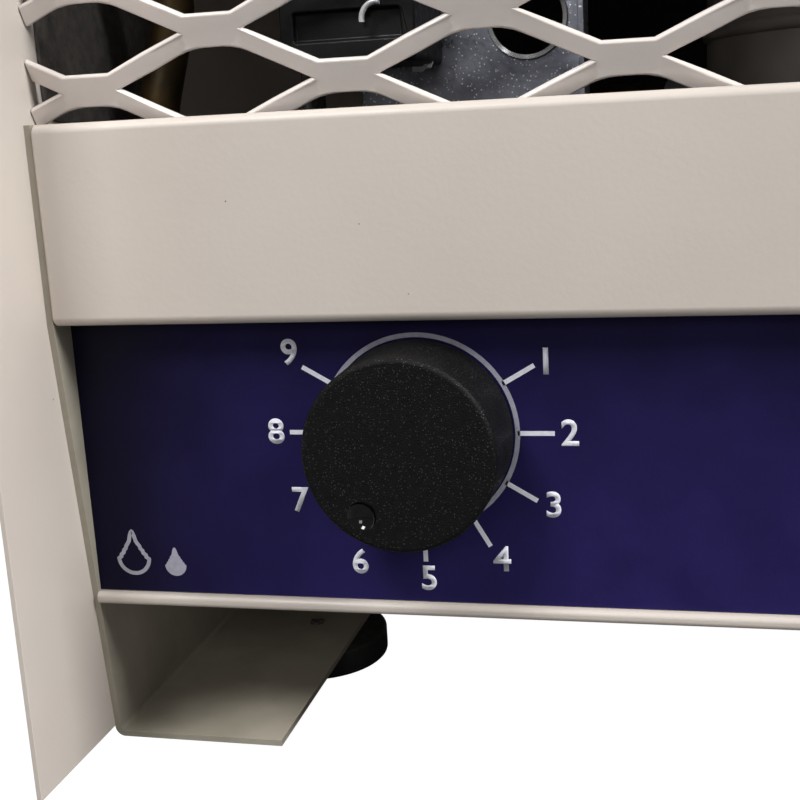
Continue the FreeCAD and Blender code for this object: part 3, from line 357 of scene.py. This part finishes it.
# Painted shade and light: the film's colour is multiplied darker at its left end and top, and lighter lower
# down.
place = add_node(blue_film, "TexCoord")
parts = add_node(blue_film, "SeparateXYZ")
link(blue_film, place, "Object", parts, "Vector")
painted_left_shade = add_node(blue_film, "MapRange", From_Min=SHADE_LEFT_START, From_Max=SHADE_LEFT_END, To_Min=SHADE_LEFT_DARKEST,
                To_Max=1.0)
painted_left_shade.interpolation_type = "SMOOTHSTEP"
link(blue_film, parts, "X", painted_left_shade, "Value")
painted_top_shade_low_light = add_node(blue_film, "MapRange", From_Min=SHADE_TOP_START, From_Max=SHADE_TOP_END, To_Min=SHADE_TOP_DARKEST,
               To_Max=LIGHT_LOW_BRIGHTEST)
link(blue_film, parts, "Z", painted_top_shade_low_light, "Value")
painted_light_and_shade = add_node(blue_film, "Math")
painted_light_and_shade.operation = "MULTIPLY"
link(blue_film, painted_left_shade, "Result", painted_light_and_shade, 0)
link(blue_film, painted_top_shade_low_light, "Result", painted_light_and_shade, 1)
deep = add_node(blue_film, "MixRGB", Fac=1.0)
deep.blend_type = "MULTIPLY"
shine = blue_film.node_tree.nodes["Principled BSDF"]
link(blue_film, shine.inputs["Base Color"].links[0].from_node, "Color", deep, "Color1")
link(blue_film, painted_light_and_shade, "Value", deep, "Color2")
link(blue_film, deep, "Color", shine, "Base Color")
coat(nodes["control_label"], blue_film)

pale_ink = finish("pale_screen_ink", srgb(224, 225, 236), srgb(234, 235, 244),
                  900, (0.5, 0.6), 2600, 0.00001)
grey_ink = finish("grey_screen_ink", srgb(156, 156, 170), srgb(168, 168, 182),
                  900, (0.5, 0.6), 2600, 0.00001)


def lift_print(piece):
    """Turns flat work drawn on the ground upright on the film and gives it the ink's thickness."""
    piece.rotation_euler = (math.radians(90), 0, 0)
    piece.location = Vector((DIAL_X, FILM_Y, DIAL_Z))
    settle(piece)
    apply_modifier(piece, "SOLIDIFY", thickness=2 * INK_THICK, offset=0.0)
    return piece


bpy.ops.mesh.primitive_circle_add(vertices=128, radius=RING_RADIUS - RING_WIDE / 2, location=(0, 0, 0))
ring = bpy.context.object
ring.name = "dial_ring"
bpy.ops.object.mode_set(mode="EDIT")
bpy.ops.mesh.select_all(action="SELECT")
bpy.ops.mesh.extrude_edges_move()
grow = (RING_RADIUS + RING_WIDE / 2) / (RING_RADIUS - RING_WIDE / 2)
bpy.ops.transform.resize(value=(grow, grow, 1), center_override=(0, 0, 0))
bpy.ops.mesh.select_all(action="SELECT")
bpy.ops.mesh.normals_make_consistent(inside=False)
settle(ring)
trade(lift_print(ring), grey_ink, "label_blue", "casing")

marks = []
for number, turn in MARK_TURNS.items():
    long = MARK_END - RING_RADIUS - (SHORTER if number in (6, 7) else 0)
    bpy.ops.mesh.primitive_plane_add(size=1, location=(0, 0, 0))
    mark = bpy.context.object
    mark.scale = (long, MARK_WIDE, 1)
    mark.rotation_euler = (0, 0, math.radians(turn))
    way = Vector((math.cos(math.radians(turn)), math.sin(math.radians(turn)), 0))
    mark.location = way * (RING_RADIUS + long / 2)
    marks.append(settle(mark))
bpy.ops.object.select_all(action="DESELECT")
for mark in marks:
    mark.select_set(True)
bpy.context.view_layer.objects.active = marks[0]
bpy.ops.object.join()
marks[0].name = "dial_marks"
trade(lift_print(marks[0]), pale_ink, "label_blue", "casing")

for number, (nx, nz) in NUMBERS.items():
    bpy.ops.object.select_all(action="DESELECT")
    bpy.ops.object.text_add(location=(0, 0, 0))
    figure = bpy.context.object
    figure.name = "dial_number_%d" % number
    figure.data.body = str(number)
    figure.data.size = FIGURE_SIZE
    figure.data.offset = FIGURE_BOLD
    figure.data.align_x = "CENTER"
    figure.data.align_y = "CENTER"
    bpy.ops.object.convert(target="MESH")
    figure = bpy.context.object
    corners = [v.co for v in figure.data.vertices]
    middle = [(min(c[i] for c in corners) + max(c[i] for c in corners)) / 2 for i in (0, 1)]
    figure.location = (nx / 1000 - middle[0], nz / 1000 - middle[1], 0)
    settle(figure)
    trade(lift_print(figure), pale_ink, "label_blue", "casing")

DROP_TAPER = (0.0, 0.3, 0.55, 0.78, 0.92)
DROP_NARROW, DROP_STRETCH, DROP_LINE = 0.84, 1.16, 0.0009
DROPS = (("large_drop", -0.0690, -0.0300, 0.0042, True), ("small_drop", -0.0588, -0.0315, 0.0026, False))

# The drops take the grey ink, darker than the figures: painted shade, as they lie in the cover's shadow.
for name, dx, dz, radius, hollow in DROPS:
    bpy.ops.object.select_all(action="DESELECT")
    bpy.ops.mesh.primitive_circle_add(vertices=64, radius=radius, fill_type="NGON", location=(0, 0, 0))
    drop = bpy.context.object
    drop.name = name
    for level in DROP_TAPER:
        choose(drop, "vertices", lambda at: at.y > level * radius)
        bpy.ops.transform.resize(value=(DROP_NARROW, DROP_STRETCH, 1), center_override=(0, level * radius, 0))
    if hollow:
        choose(drop, "polygons", lambda at: True)
        bpy.ops.mesh.inset(thickness=DROP_LINE)
        bpy.ops.mesh.delete(type="FACE")
    drop.location = (dx, dz, 0)
    settle(drop)
    trade(lift_print(drop), grey_ink, "label_blue", "casing")


# ---- control knob -------------------------------------------------------------------------------
# A round black moulding with a fine spark-eroded grain, pushed on the humidity control's shaft.
# A dished spot near its rim is the pointer, and the flat face has a small soft rounded rim.

KNOB_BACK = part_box("control_knob")[1].y
KNOB_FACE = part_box("control_knob")[0].y
KNOB_RADIUS, KNOB_BASE = 0.0199, 0.0203
KNOB_RIM = 0.0011
KNOB_WALL, KNOB_HOLLOW = 0.0022, 0.0048
SPOT_AT = (-0.0079, -0.0122)
SPOT_BALL, SPOT_DEEP = 0.0042, 0.0013

black_grain = finish("grained_black_moulding", srgb(9, 9, 9), srgb(14, 14, 14),
                     700, (0.42, 0.6), 3300, 0.00016, 0.0, 0.15)
# Painted glints: pale dots on the black grain stand for light catching it.
specks(black_grain, srgb(74, 73, 70), 1700, 0.00012)
pointer_gloss = finish("polished_pointer", srgb(3, 3, 3), srgb(6, 6, 6), 300, (0.06, 0.1), 900, 0.000004)

bpy.ops.object.select_all(action="DESELECT")
bpy.ops.mesh.primitive_cone_add(vertices=128, radius1=KNOB_BASE, radius2=KNOB_RADIUS,
                                depth=KNOB_BACK - KNOB_FACE,
                                location=(DIAL_X, (KNOB_BACK + KNOB_FACE) / 2, DIAL_Z),
                                rotation=(math.radians(90), 0, 0))
knob = bpy.context.object
knob.name = "grained_knob"
choose(knob, "polygons", lambda at: at.y > KNOB_BACK - 0.0001)
bpy.ops.mesh.inset(thickness=KNOB_WALL)
bpy.ops.mesh.extrude_region_move(TRANSFORM_OT_translate={"value": (0, -KNOB_HOLLOW, 0)})
settle(knob)
choose(knob, "edges", lambda at: at.y < KNOB_FACE + 0.0001)
bpy.ops.mesh.bevel(offset=KNOB_RIM, segments=6, affect="EDGES")
bpy.ops.object.mode_set(mode="OBJECT")

bpy.ops.object.select_all(action="DESELECT")
bpy.ops.mesh.primitive_uv_sphere_add(segments=48, ring_count=32, radius=SPOT_BALL,
                                     location=(DIAL_X + SPOT_AT[0], KNOB_FACE - SPOT_BALL + SPOT_DEEP,
                                               DIAL_Z + SPOT_AT[1]))
ball = settle(bpy.context.object)
coat(ball, pointer_gloss)
coat(knob, black_grain)
apply_modifier(knob, "BOOLEAN", object=ball, operation="DIFFERENCE", solver="EXACT",
               material_mode="TRANSFER")
bpy.data.objects.remove(ball)
soften(knob, 0)
trade(knob, black_grain, "knob_black", "knob", "control_knob")
knob.material_slots[1].material = pointer_gloss
coat(nodes["humidistat_shaft"], bright_zinc)
coat(nodes["humidistat_nut"], bright_zinc)


# ---- humidity control, switch and lamp ----------------------------------------------------------
# The control sits behind the panel in a black moulded case. At the label's right end are a black
# rocker switch in its bezel and an amber lamp in a plated ring, each pushed in from the front.

black_plastic = finish("black_moulding", srgb(9, 9, 9), srgb(16, 16, 16),
                       220, (0.34, 0.5), 2200, 0.00003, 0.0, 0.25)
gloss_black = finish("polished_black_moulding", srgb(12, 12, 12), srgb(18, 18, 18),
                     90, (0.12, 0.2), 900, 0.00001)
amber = finish("amber_lens", srgb(196, 92, 12), srgb(222, 120, 22), 240, (0.08, 0.16), 700, 0.00003)
amber.node_tree.nodes["Principled BSDF"].inputs["Transmission Weight"].default_value = 0.35
chrome = finish("chrome_trim", srgb(198, 200, 202), srgb(222, 223, 224),
                120, (0.08, 0.16), 1200, 0.000004, 1.0)

dressed("humidistat_body", "humidity_control_case", 0.0004, black_plastic, "black_plastic")
dressed("switch_bezel", "switch_frame", 0.0003, black_plastic, "rocker_black")
dressed("switch_rocker", "switch_paddle", 0.0003, gloss_black, "rocker_black", "rocker")
dressed("lamp_lens", "lamp_dome", 0.0001, amber, "lamp_amber")
dressed("lamp_bezel", "lamp_ring", 0.0002, chrome, "chrome_trim")
coat(nodes["switch_pin"], bright_zinc)


# ---- front rails --------------------------------------------------------------------------------
# Two flat rails of folded sheet across the front, coated with the body. The lower one covers the
# top of the label, and the mesh is welded behind both.

dressed("front_rail", "painted_front_rail", 0.0005, cream_paint, "cream_paint", steps=3)
dressed("top_rail", "painted_top_rail", 0.0005, cream_paint, "cream_paint", steps=3)


# ---- expanded mesh ------------------------------------------------------------------------------
# Slit and stretched steel sheet: flat bonds joined by slanting strands, left raised so that each
# bond leans, and coated thickly enough to round every edge. Trimmed to fit behind the rails.

LONG_PITCH, SHORT_PITCH = 0.0557, 0.0209
BOND_X, BOND_Z = -0.1046, 0.1581
BOND_HALF, BOND_TIP, BOND_TALL = 0.0049, 0.00685, 0.0032
STRAND_RUN = LONG_PITCH / 4 - (BOND_HALF + BOND_TIP) / 2
STRAND_RISE = SHORT_PITCH / 4 - BOND_TALL / 2
LEAN = 0.0013
MESH_MID = (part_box("front_mesh")[0].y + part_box("front_mesh")[1].y) / 2
MESH_LOW, MESH_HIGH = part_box("front_mesh")[0].z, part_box("front_mesh")[1].z
SIDE_LOW, SIDE_HIGH = 0.1722, 0.1735
RAIL_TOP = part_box("front_rail")[1].z
STRAND_THICK, STRAND_ROUND = 0.0017, 0.0006
TRIM_MARGIN = 0.001
ARCH = 0.0034

bpy.ops.object.select_all(action="DESELECT")
bpy.ops.mesh.primitive_circle_add(vertices=6, radius=BOND_TIP, fill_type="NGON", location=(0, 0, 0),
                                  rotation=(0, 0, math.radians(30)))
unit = bpy.context.object
unit.name = "expanded_mesh"
settle(unit)
choose(unit, "vertices", lambda at: abs(at.y) > 0.001)
wide = max(v.co.x for v in unit.data.vertices if abs(v.co.y) > 0.001)
tall = max(v.co.y for v in unit.data.vertices)
bpy.ops.transform.resize(value=(BOND_HALF / wide, BOND_TALL / tall, 1), center_override=(0, 0, 0))
for across in (-1, 1):
    for up in (-1, 1):
        choose(unit, "edges", lambda at: BOND_HALF < at.x * across < BOND_TIP and at.y * up > 0.0002)
        reach = (across * STRAND_RUN, up * STRAND_RISE, 0)
        bpy.ops.mesh.extrude_edges_move(TRANSFORM_OT_translate={"value": reach})
for lean in (1, -1):
    choose(unit, "vertices", lambda at: (abs(at.x) < BOND_TIP - 0.0001 and at.y * lean > 0)
           or (abs(at.x) > BOND_TIP + 0.001 and abs(at.y) > SHORT_PITCH / 4 and at.y * lean > 0)
           or (abs(at.x) > BOND_TIP + 0.001 and abs(at.y) < SHORT_PITCH / 4 and at.y * lean < 0))
    bpy.ops.transform.translate(value=(0, 0, lean * LEAN))
choose(unit, "vertices", lambda at: abs(at.x) < BOND_TIP - 0.0001 and at.y < 0)
bpy.ops.mesh.bevel(offset=ARCH, segments=3, affect="VERTICES")
unit.rotation_euler = (math.radians(90), 0, 0)
unit.location = (BOND_X - 2 * LONG_PITCH, MESH_MID, BOND_Z - 2 * SHORT_PITCH)
settle(unit)
columns = math.ceil(2 * SIDE_HIGH / LONG_PITCH) + 2
rows = math.ceil((MESH_HIGH - MESH_LOW) / SHORT_PITCH) + 2
for count, step in ((columns, (LONG_PITCH, 0, 0)), (rows, (0, 0, SHORT_PITCH))):
    apply_modifier(unit, "ARRAY", count=count, use_relative_offset=False, use_constant_offset=True,
                   constant_offset_displace=step)
between = twin(unit, "between_rows", (LONG_PITCH / 2, 0, SHORT_PITCH / 2))
select_only(between)
unit.select_set(True)
bpy.context.view_layer.objects.active = unit
bpy.ops.object.join()


def trim(piece, at, outward, among=None):
    """Cuts away what lies outward of a plane, on the faces that pass a test."""
    choose(piece, "polygons", among or (lambda middle: True))
    bpy.ops.mesh.bisect(plane_co=at, plane_no=outward, clear_outer=True, use_fill=among is None)
    bpy.ops.object.mode_set(mode="OBJECT")


choose(unit, "polygons", lambda at: True)
bpy.ops.mesh.remove_doubles(threshold=0.00002)
bpy.ops.mesh.normals_make_consistent(inside=False)
bpy.ops.object.mode_set(mode="OBJECT")
select_only(unit)
apply_modifier(unit, "SOLIDIFY", thickness=STRAND_THICK, offset=0.0)
apply_modifier(unit, "BEVEL", width=STRAND_ROUND, segments=3, limit_method="ANGLE",
               angle_limit=math.radians(50), use_clamp_overlap=False)
trim(unit, (0, 0, MESH_LOW + TRIM_MARGIN), (0, 0, -1))
trim(unit, (0, 0, MESH_HIGH - TRIM_MARGIN), (0, 0, 1))
for side in (-1, 1):
    trim(unit, (side * SIDE_HIGH, 0, 0), (side, 0, 0))
    trim(unit, (side * SIDE_LOW, 0, 0), (side, 0, 0), lambda at: at.z < RAIL_TOP - TRIM_MARGIN)
soften(unit, 0, sharp=60)
# A lighter, glossier copy of the body's cream coat: the extra lightness is painted light.
lit_mesh_paint = finish("lit_thick_cream_coat", srgb(220, 211, 205), srgb(226, 217, 211),
                    22, (0.18, 0.26), 500, 0.00006)
trade(unit, lit_mesh_paint, "cream_paint", "casing", "front_mesh")


# ---- painted shade sheets -----------------------------------------------------------------------
# Dark sheets inside the cover just behind the mesh, and a black one on the back panel: painted shade
# for the dimness inside the body. Both are thin flat sheets with rounded corners.

SHADE_SHEET_OUT, SHADE_SHEET_THICK = 0.1738, 0.0008
SHADE_SHEET_FRONT, SHADE_SHEET_REAR = MESH_MID + 0.0035, -0.075
SHADE_SHEET_LOW, SHADE_SHEET_HIGH = RAIL_TOP + 0.0005, 0.247
SHADE_SHEET_CORNER, BACK_SHADE_SHEET_CORNER = 0.006, 0.008

# Painted shade: a dark sheet where the inside of the cover lies in shadow.
side_shade_finish = finish("painted_side_shade", srgb(62, 58, 55), srgb(78, 73, 69), 420, (0.85, 0.95), 1500, 0.0003)
bpy.ops.object.select_all(action="DESELECT")
bpy.ops.mesh.primitive_cube_add(size=1, location=(SHADE_SHEET_THICK / 2 - SHADE_SHEET_OUT, (SHADE_SHEET_FRONT + SHADE_SHEET_REAR) / 2,
                                                  (SHADE_SHEET_LOW + SHADE_SHEET_HIGH) / 2))
left_shade_sheet = bpy.context.object
left_shade_sheet.name = "side_shade_sheet_left"
bpy.ops.object.mode_set(mode="EDIT")
bpy.ops.mesh.select_all(action="SELECT")
bpy.ops.transform.resize(value=(SHADE_SHEET_THICK, SHADE_SHEET_REAR - SHADE_SHEET_FRONT, SHADE_SHEET_HIGH - SHADE_SHEET_LOW))
settle(left_shade_sheet)
choose(left_shade_sheet, "edges", lambda at: abs(at.x + SHADE_SHEET_OUT - SHADE_SHEET_THICK / 2) < 0.0001
       and not (SHADE_SHEET_FRONT + 0.001 < at.y < SHADE_SHEET_REAR - 0.001))
bpy.ops.mesh.bevel(offset=SHADE_SHEET_CORNER, segments=5, affect="EDGES")
bpy.ops.object.mode_set(mode="OBJECT")
soften(left_shade_sheet, 0.0002)
right_shade_sheet = twin(left_shade_sheet, "side_shade_sheet_right", (2 * SHADE_SHEET_OUT - SHADE_SHEET_THICK, 0, 0))
for piece in (left_shade_sheet, right_shade_sheet):
    trade(piece, side_shade_finish, None, "casing")

BACK_SHADE_SHEET_X, BACK_SHADE_SHEET_Z = (-0.150, 0.060), (0.150, 0.236)
BACK_SHADE_SHEET_Y, BACK_SHADE_SHEET_THICK = 0.1488, 0.0012

# Painted shade: a black sheet where the back panel's inside lies in shadow.
back_shade_finish = finish("painted_back_shade", srgb(9, 9, 9), srgb(16, 16, 16), 420, (0.85, 0.95), 1500, 0.0003)
bpy.ops.object.select_all(action="DESELECT")
bpy.ops.mesh.primitive_cube_add(size=1, location=(sum(BACK_SHADE_SHEET_X) / 2, BACK_SHADE_SHEET_Y - BACK_SHADE_SHEET_THICK / 2,
                                                  sum(BACK_SHADE_SHEET_Z) / 2))
backing = bpy.context.object
backing.name = "back_shade_sheet"
bpy.ops.object.mode_set(mode="EDIT")
bpy.ops.mesh.select_all(action="SELECT")
bpy.ops.transform.resize(value=(BACK_SHADE_SHEET_X[1] - BACK_SHADE_SHEET_X[0], BACK_SHADE_SHEET_THICK,
                                BACK_SHADE_SHEET_Z[1] - BACK_SHADE_SHEET_Z[0]))
settle(backing)
choose(backing, "edges", lambda at: 0.1 < (BACK_SHADE_SHEET_Y - at.y) / BACK_SHADE_SHEET_THICK < 0.9)
bpy.ops.mesh.bevel(offset=BACK_SHADE_SHEET_CORNER, segments=5, affect="EDGES")
bpy.ops.object.mode_set(mode="OBJECT")
soften(backing, 0.0003)
trade(backing, back_shade_finish, None, "casing")


# ---- electrics ----------------------------------------------------------------------------------
# A bright zinc-plated bracket screwed to the tray, its right edge folded forward. The relay and the
# timer sit on its front, the terminals behind it, and the run capacitor in a spring clip. A tinned
# hook stands in front of the relay and a bent tab below it.

zinc_plate = finish("spangled_zinc_plate", srgb(112, 114, 124), srgb(142, 144, 153),
                    130, (0.25, 0.42), 900, 0.00004, 1.0)
specks(zinc_plate, srgb(226, 228, 234), 1100, 0.0002)
capacitor_can = finish("drawn_can", srgb(184, 186, 188), srgb(206, 207, 208),
                       160, (0.25, 0.38), 1600, 0.00001, 1.0)
wire_insulation = finish("black_wire_insulation", srgb(20, 20, 20), srgb(30, 30, 30),
                         300, (0.4, 0.5), 1800, 0.00002)

dressed("electrics_plate", "zinc_bracket", 0.0003, zinc_plate, "zinc_plate")
dressed("relay", "relay_case", 0.0005, black_plastic, "black_plastic")
dressed("defrost_timer", "timer_case", 0.0005, black_plastic, "black_plastic")
dressed("terminal_block", "terminal_row", 0.0003, black_plastic, "black_plastic")
dressed("run_capacitor", "capacitor_can", 0.0003, capacitor_can, "capacitor_can")
dressed("capacitor_clip", "capacitor_spring_clip", 0.0003, bright_zinc, "zinc_plate")
dressed("cable_gland", "moulded_gland", 0.0003, black_plastic, "black_plastic")
dressed("inner_screws", "inner_screw_heads", 0.0002, bright_zinc, "zinc_plate")
coat(nodes["control_wires"], wire_insulation)

PLATE_HOLE = (-0.0737, 0.1702)
HOLE_RADIUS, COLLAR_IN, COLLAR_OUT, COLLAR_TALL = 0.0085, 0.0003, 0.0007, 0.0007
PLATE_FRONT = -0.0980

bpy.ops.object.select_all(action="DESELECT")
bpy.ops.mesh.primitive_circle_add(vertices=64, radius=HOLE_RADIUS - COLLAR_IN, location=(0, 0, 0))
collar = bpy.context.object
collar.name = "bracket_hole_rim"
bpy.ops.object.mode_set(mode="EDIT")
bpy.ops.mesh.select_all(action="SELECT")
bpy.ops.mesh.extrude_edges_move(TRANSFORM_OT_translate={"value": (0, 0, COLLAR_TALL)})
grow = (HOLE_RADIUS + COLLAR_OUT) / (HOLE_RADIUS - COLLAR_IN)
bpy.ops.mesh.extrude_edges_move(TRANSFORM_OT_translate={"value": (0, 0, 0.0002)})
bpy.ops.transform.resize(value=(grow, grow, 1), center_override=(0, 0, 0))
bpy.ops.mesh.select_all(action="SELECT")
bpy.ops.mesh.normals_make_consistent(inside=False)
collar.rotation_euler = (math.radians(90), 0, 0)
collar.location = (PLATE_HOLE[0], PLATE_FRONT + 0.0001, PLATE_HOLE[1])
settle(collar)
apply_modifier(collar, "SOLIDIFY", thickness=0.0004, offset=0.0)
soften(collar, 0.00012)
trade(collar, chrome, "zinc_plate", "casing")

HOOK_AT, HOOK_RADIUS, HOOK_WIRE = (-0.1012, -0.1258, 0.1698), 0.0034, 0.0006
TAB_AT, TAB_SIZE, TAB_STEP = (-0.0975, -0.1066, 0.1600), (0.0024, 0.0006, 0.0012), 0.0012

tinned = finish("tinned_terminal", srgb(196, 198, 202), srgb(216, 218, 221),
                300, (0.3, 0.4), 1600, 0.00001, 0.3)

bpy.ops.object.select_all(action="DESELECT")
bpy.ops.mesh.primitive_torus_add(major_radius=HOOK_RADIUS, minor_radius=HOOK_WIRE, major_segments=48,
                                 minor_segments=12, location=HOOK_AT, rotation=(math.radians(90), 0, 0))
hook = bpy.context.object
hook.name = "relay_spring_hook"
settle(hook)
trim(hook, (HOOK_AT[0] + HOOK_WIRE, 0, 0), (1, 0, 0))
trim(hook, (0, 0, HOOK_AT[2] - HOOK_WIRE), (0, 0, -1))
soften(hook, 0, sharp=50)
trade(hook, tinned, "chrome_trim", "casing")

bpy.ops.object.select_all(action="DESELECT")
bpy.ops.mesh.primitive_cube_add(size=1, location=TAB_AT)
tab = bpy.context.object
tab.name = "relay_bent_tab"
bpy.ops.object.mode_set(mode="EDIT")
bpy.ops.mesh.select_all(action="SELECT")
bpy.ops.transform.resize(value=TAB_SIZE)
settle(tab)
for step in ((TAB_STEP / 2, 0, TAB_STEP), (TAB_STEP, 0, 0), (TAB_STEP / 2, 0, TAB_STEP / 2)):
    reach = max(v.co.x for v in tab.data.vertices)
    choose(tab, "polygons", lambda at: at.x > reach - 0.00001)
    bpy.ops.mesh.extrude_region_move(TRANSFORM_OT_translate={"value": step})
settle(tab)
soften(tab, 0.0001)
trade(tab, tinned, "chrome_trim", "casing")


# ---- compressor ---------------------------------------------------------------------------------
# A deep-drawn steel pot in two halves, welded at a seam and enamelled dark grey, on a plate with three
# legs. It stands on waisted rubber mounts, held down by plated studs and nuts.

pot_enamel = finish("dark_pot_enamel", srgb(118, 112, 107), srgb(134, 127, 121),
                    45, (0.32, 0.45), 420, 0.00012)
coat(nodes["compressor"], pot_enamel)
dressed("compressor_cap", "terminal_cover", 0.0005, black_plastic, "black_plastic")
dressed("compressor_grommets", "rubber_mounts", 0.0008, black_rubber, "rubber")
dressed("compressor_bolts", "mount_studs", 0.0003, bright_zinc, "zinc_plate")


# ---- coils --------------------------------------------------------------------------------------
# Two coils in one frame of galvanised end plates. Each is a copper tube folded back and forth
# through a pack of thin rippled aluminium fins, pressed tight on the tube.

FIN_PITCH = 0.0027
FIN_THICK = 0.00015
RIPPLES = 6
RIPPLE_TALL = 0.0004

fin_aluminium = finish("rippled_aluminium", srgb(176, 178, 180), srgb(198, 199, 201),
                       90, (0.28, 0.42), 1500, 0.00001, 1.0)
tarnish = finish("tarnished_copper", srgb(52, 43, 24), srgb(84, 66, 38), 90, (0.42, 0.6), 700, 0.00004, 0.7)
copper = finish("drawn_copper", srgb(98, 70, 44), srgb(128, 88, 58), 60, (0.3, 0.5), 700, 0.00002, 1.0)
galvanised = finish("galvanised_sheet", srgb(138, 141, 143), srgb(172, 174, 176),
                    90, (0.34, 0.5), 500, 0.00002, 1.0)


def fin_pack(node, name):
    """Rippled fins at a fine pitch, over the length and depth of one coil."""
    low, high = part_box(node)
    deep = high.y - low.y
    bpy.ops.object.select_all(action="DESELECT")
    bpy.ops.mesh.primitive_plane_add(size=1, location=(0, 0, 0))
    fin = bpy.context.object
    fin.name = name
    fin.rotation_euler = (0, math.radians(90), 0)
    fin.scale = (high.z - low.z, deep, 1)
    fin.location = ((low.x + FIN_THICK), (low.y + high.y) / 2, (low.z + high.z) / 2)
    settle(fin)
    for i in range(1, RIPPLES):
        choose(fin, "polygons", lambda at: True)
        bpy.ops.mesh.bisect(plane_co=(0, low.y + deep * i / RIPPLES, 0), plane_no=(0, 1, 0))
    choose(fin, "vertices", lambda at: round((at.y - low.y) * RIPPLES / deep) % 2 == 1)
    bpy.ops.transform.translate(value=(RIPPLE_TALL, 0, 0))
    settle(fin)
    apply_modifier(fin, "SOLIDIFY", thickness=FIN_THICK, offset=0.0)
    count = int((high.x - low.x) / FIN_PITCH)
    apply_modifier(fin, "ARRAY", count=count, use_relative_offset=False, use_constant_offset=True,
                   constant_offset_displace=(FIN_PITCH, 0, 0))
    return trade(fin, fin_aluminium, "fin_aluminium", "casing", node)


fin_pack("evaporator_fins", "evaporator_fin_pack")
fin_pack("condenser_fins", "condenser_fin_pack")
dressed("coil_end_plates", "coil_frame_plates", 0.0003, galvanised, "galvanised")
for tube in ("evaporator_tube", "condenser_tube", "suction_pipe", "discharge_pipe", "liquid_pipe",
             "filter_drier", "capillary_tube"):
    coat(nodes[tube], copper)
coat(nodes["suction_pipe"], tarnish)


# ---- tray, bulkhead and drain -------------------------------------------------------------------
# A moulded tray catches the water under the coils. A clear hose takes it through the galvanised
# bulkhead and down to the spout in the back panel.

tray_grey = finish("moulded_grey_tray", srgb(94, 97, 100), srgb(108, 111, 114),
                   70, (0.4, 0.52), 1100, 0.00003)
clear_hose = finish("clear_hose", srgb(206, 210, 206), srgb(222, 225, 220), 80, (0.18, 0.28), 600, 0.00002)
clear_hose.node_tree.nodes["Principled BSDF"].inputs["Transmission Weight"].default_value = 0.45
dressed("drip_tray", "moulded_drip_tray", 0.0006, tray_grey, "tray_grey")
dressed("bulkhead", "galvanised_bulkhead", 0.0003, galvanised, "galvanised")
dressed("drain_spout", "moulded_drain_spout", 0.0004, black_plastic, "black_plastic")
coat(nodes["drain_hose"], clear_hose)


# ---- fan ----------------------------------------------------------------------------------------
# A five-blade moulded fan on the shaft of an enclosed motor. A folded strap carries the motor
# behind the galvanised shroud plate, whose rolled ring fits close round the blades.

fan_plastic = finish("moulded_fan", srgb(48, 50, 52), srgb(60, 62, 64), 90, (0.35, 0.48), 1200, 0.00003)
motor_grey = finish("motor_enamel", srgb(72, 75, 78), srgb(86, 89, 92), 60, (0.38, 0.5), 700, 0.00005)
dressed("fan_shroud", "fan_shroud_plate", 0.0003, galvanised, "galvanised")
dressed("fan_blades", "moulded_fan_blades", 0.0004, fan_plastic, "fan_plastic", "fan")
dressed("fan_nut", "fan_lock_nut", 0.0003, bright_zinc, "zinc_plate", "fan")
dressed("fan_motor", "fan_motor_case", 0.0004, motor_grey, "motor_grey")
dressed("motor_bracket", "motor_strap", 0.0004, galvanised, "galvanised")
coat(nodes["motor_shaft"], chrome)


# ---- back panel and guard -----------------------------------------------------------------------
# The back is a flat painted panel. A welded wire guard over the fan's outlet is plated and screwed
# on through an eye at the end of each spoke.

dressed("back_panel", "painted_back_panel", 0.0004, cream_paint, "cream_paint")
dressed("guard_screws", "guard_screw_heads", 0.0002, bright_zinc, "zinc_plate")
coat(nodes["rear_guard"], chrome)


# ---- handle -------------------------------------------------------------------------------------
# A steel strap folded into a bridge and painted with the body, screwed through the cover's top. A
# black moulded sleeve with soft edges makes it comfortable to hold.

dressed("handle_strap", "painted_handle_strap", 0.0005, cream_paint, "cream_paint")
dressed("handle_grip", "handle_sleeve", 0.0006, black_grain, "black_plastic")
dressed("handle_screws", "handle_screw_heads", 0.0002, bright_zinc, "zinc_plate")
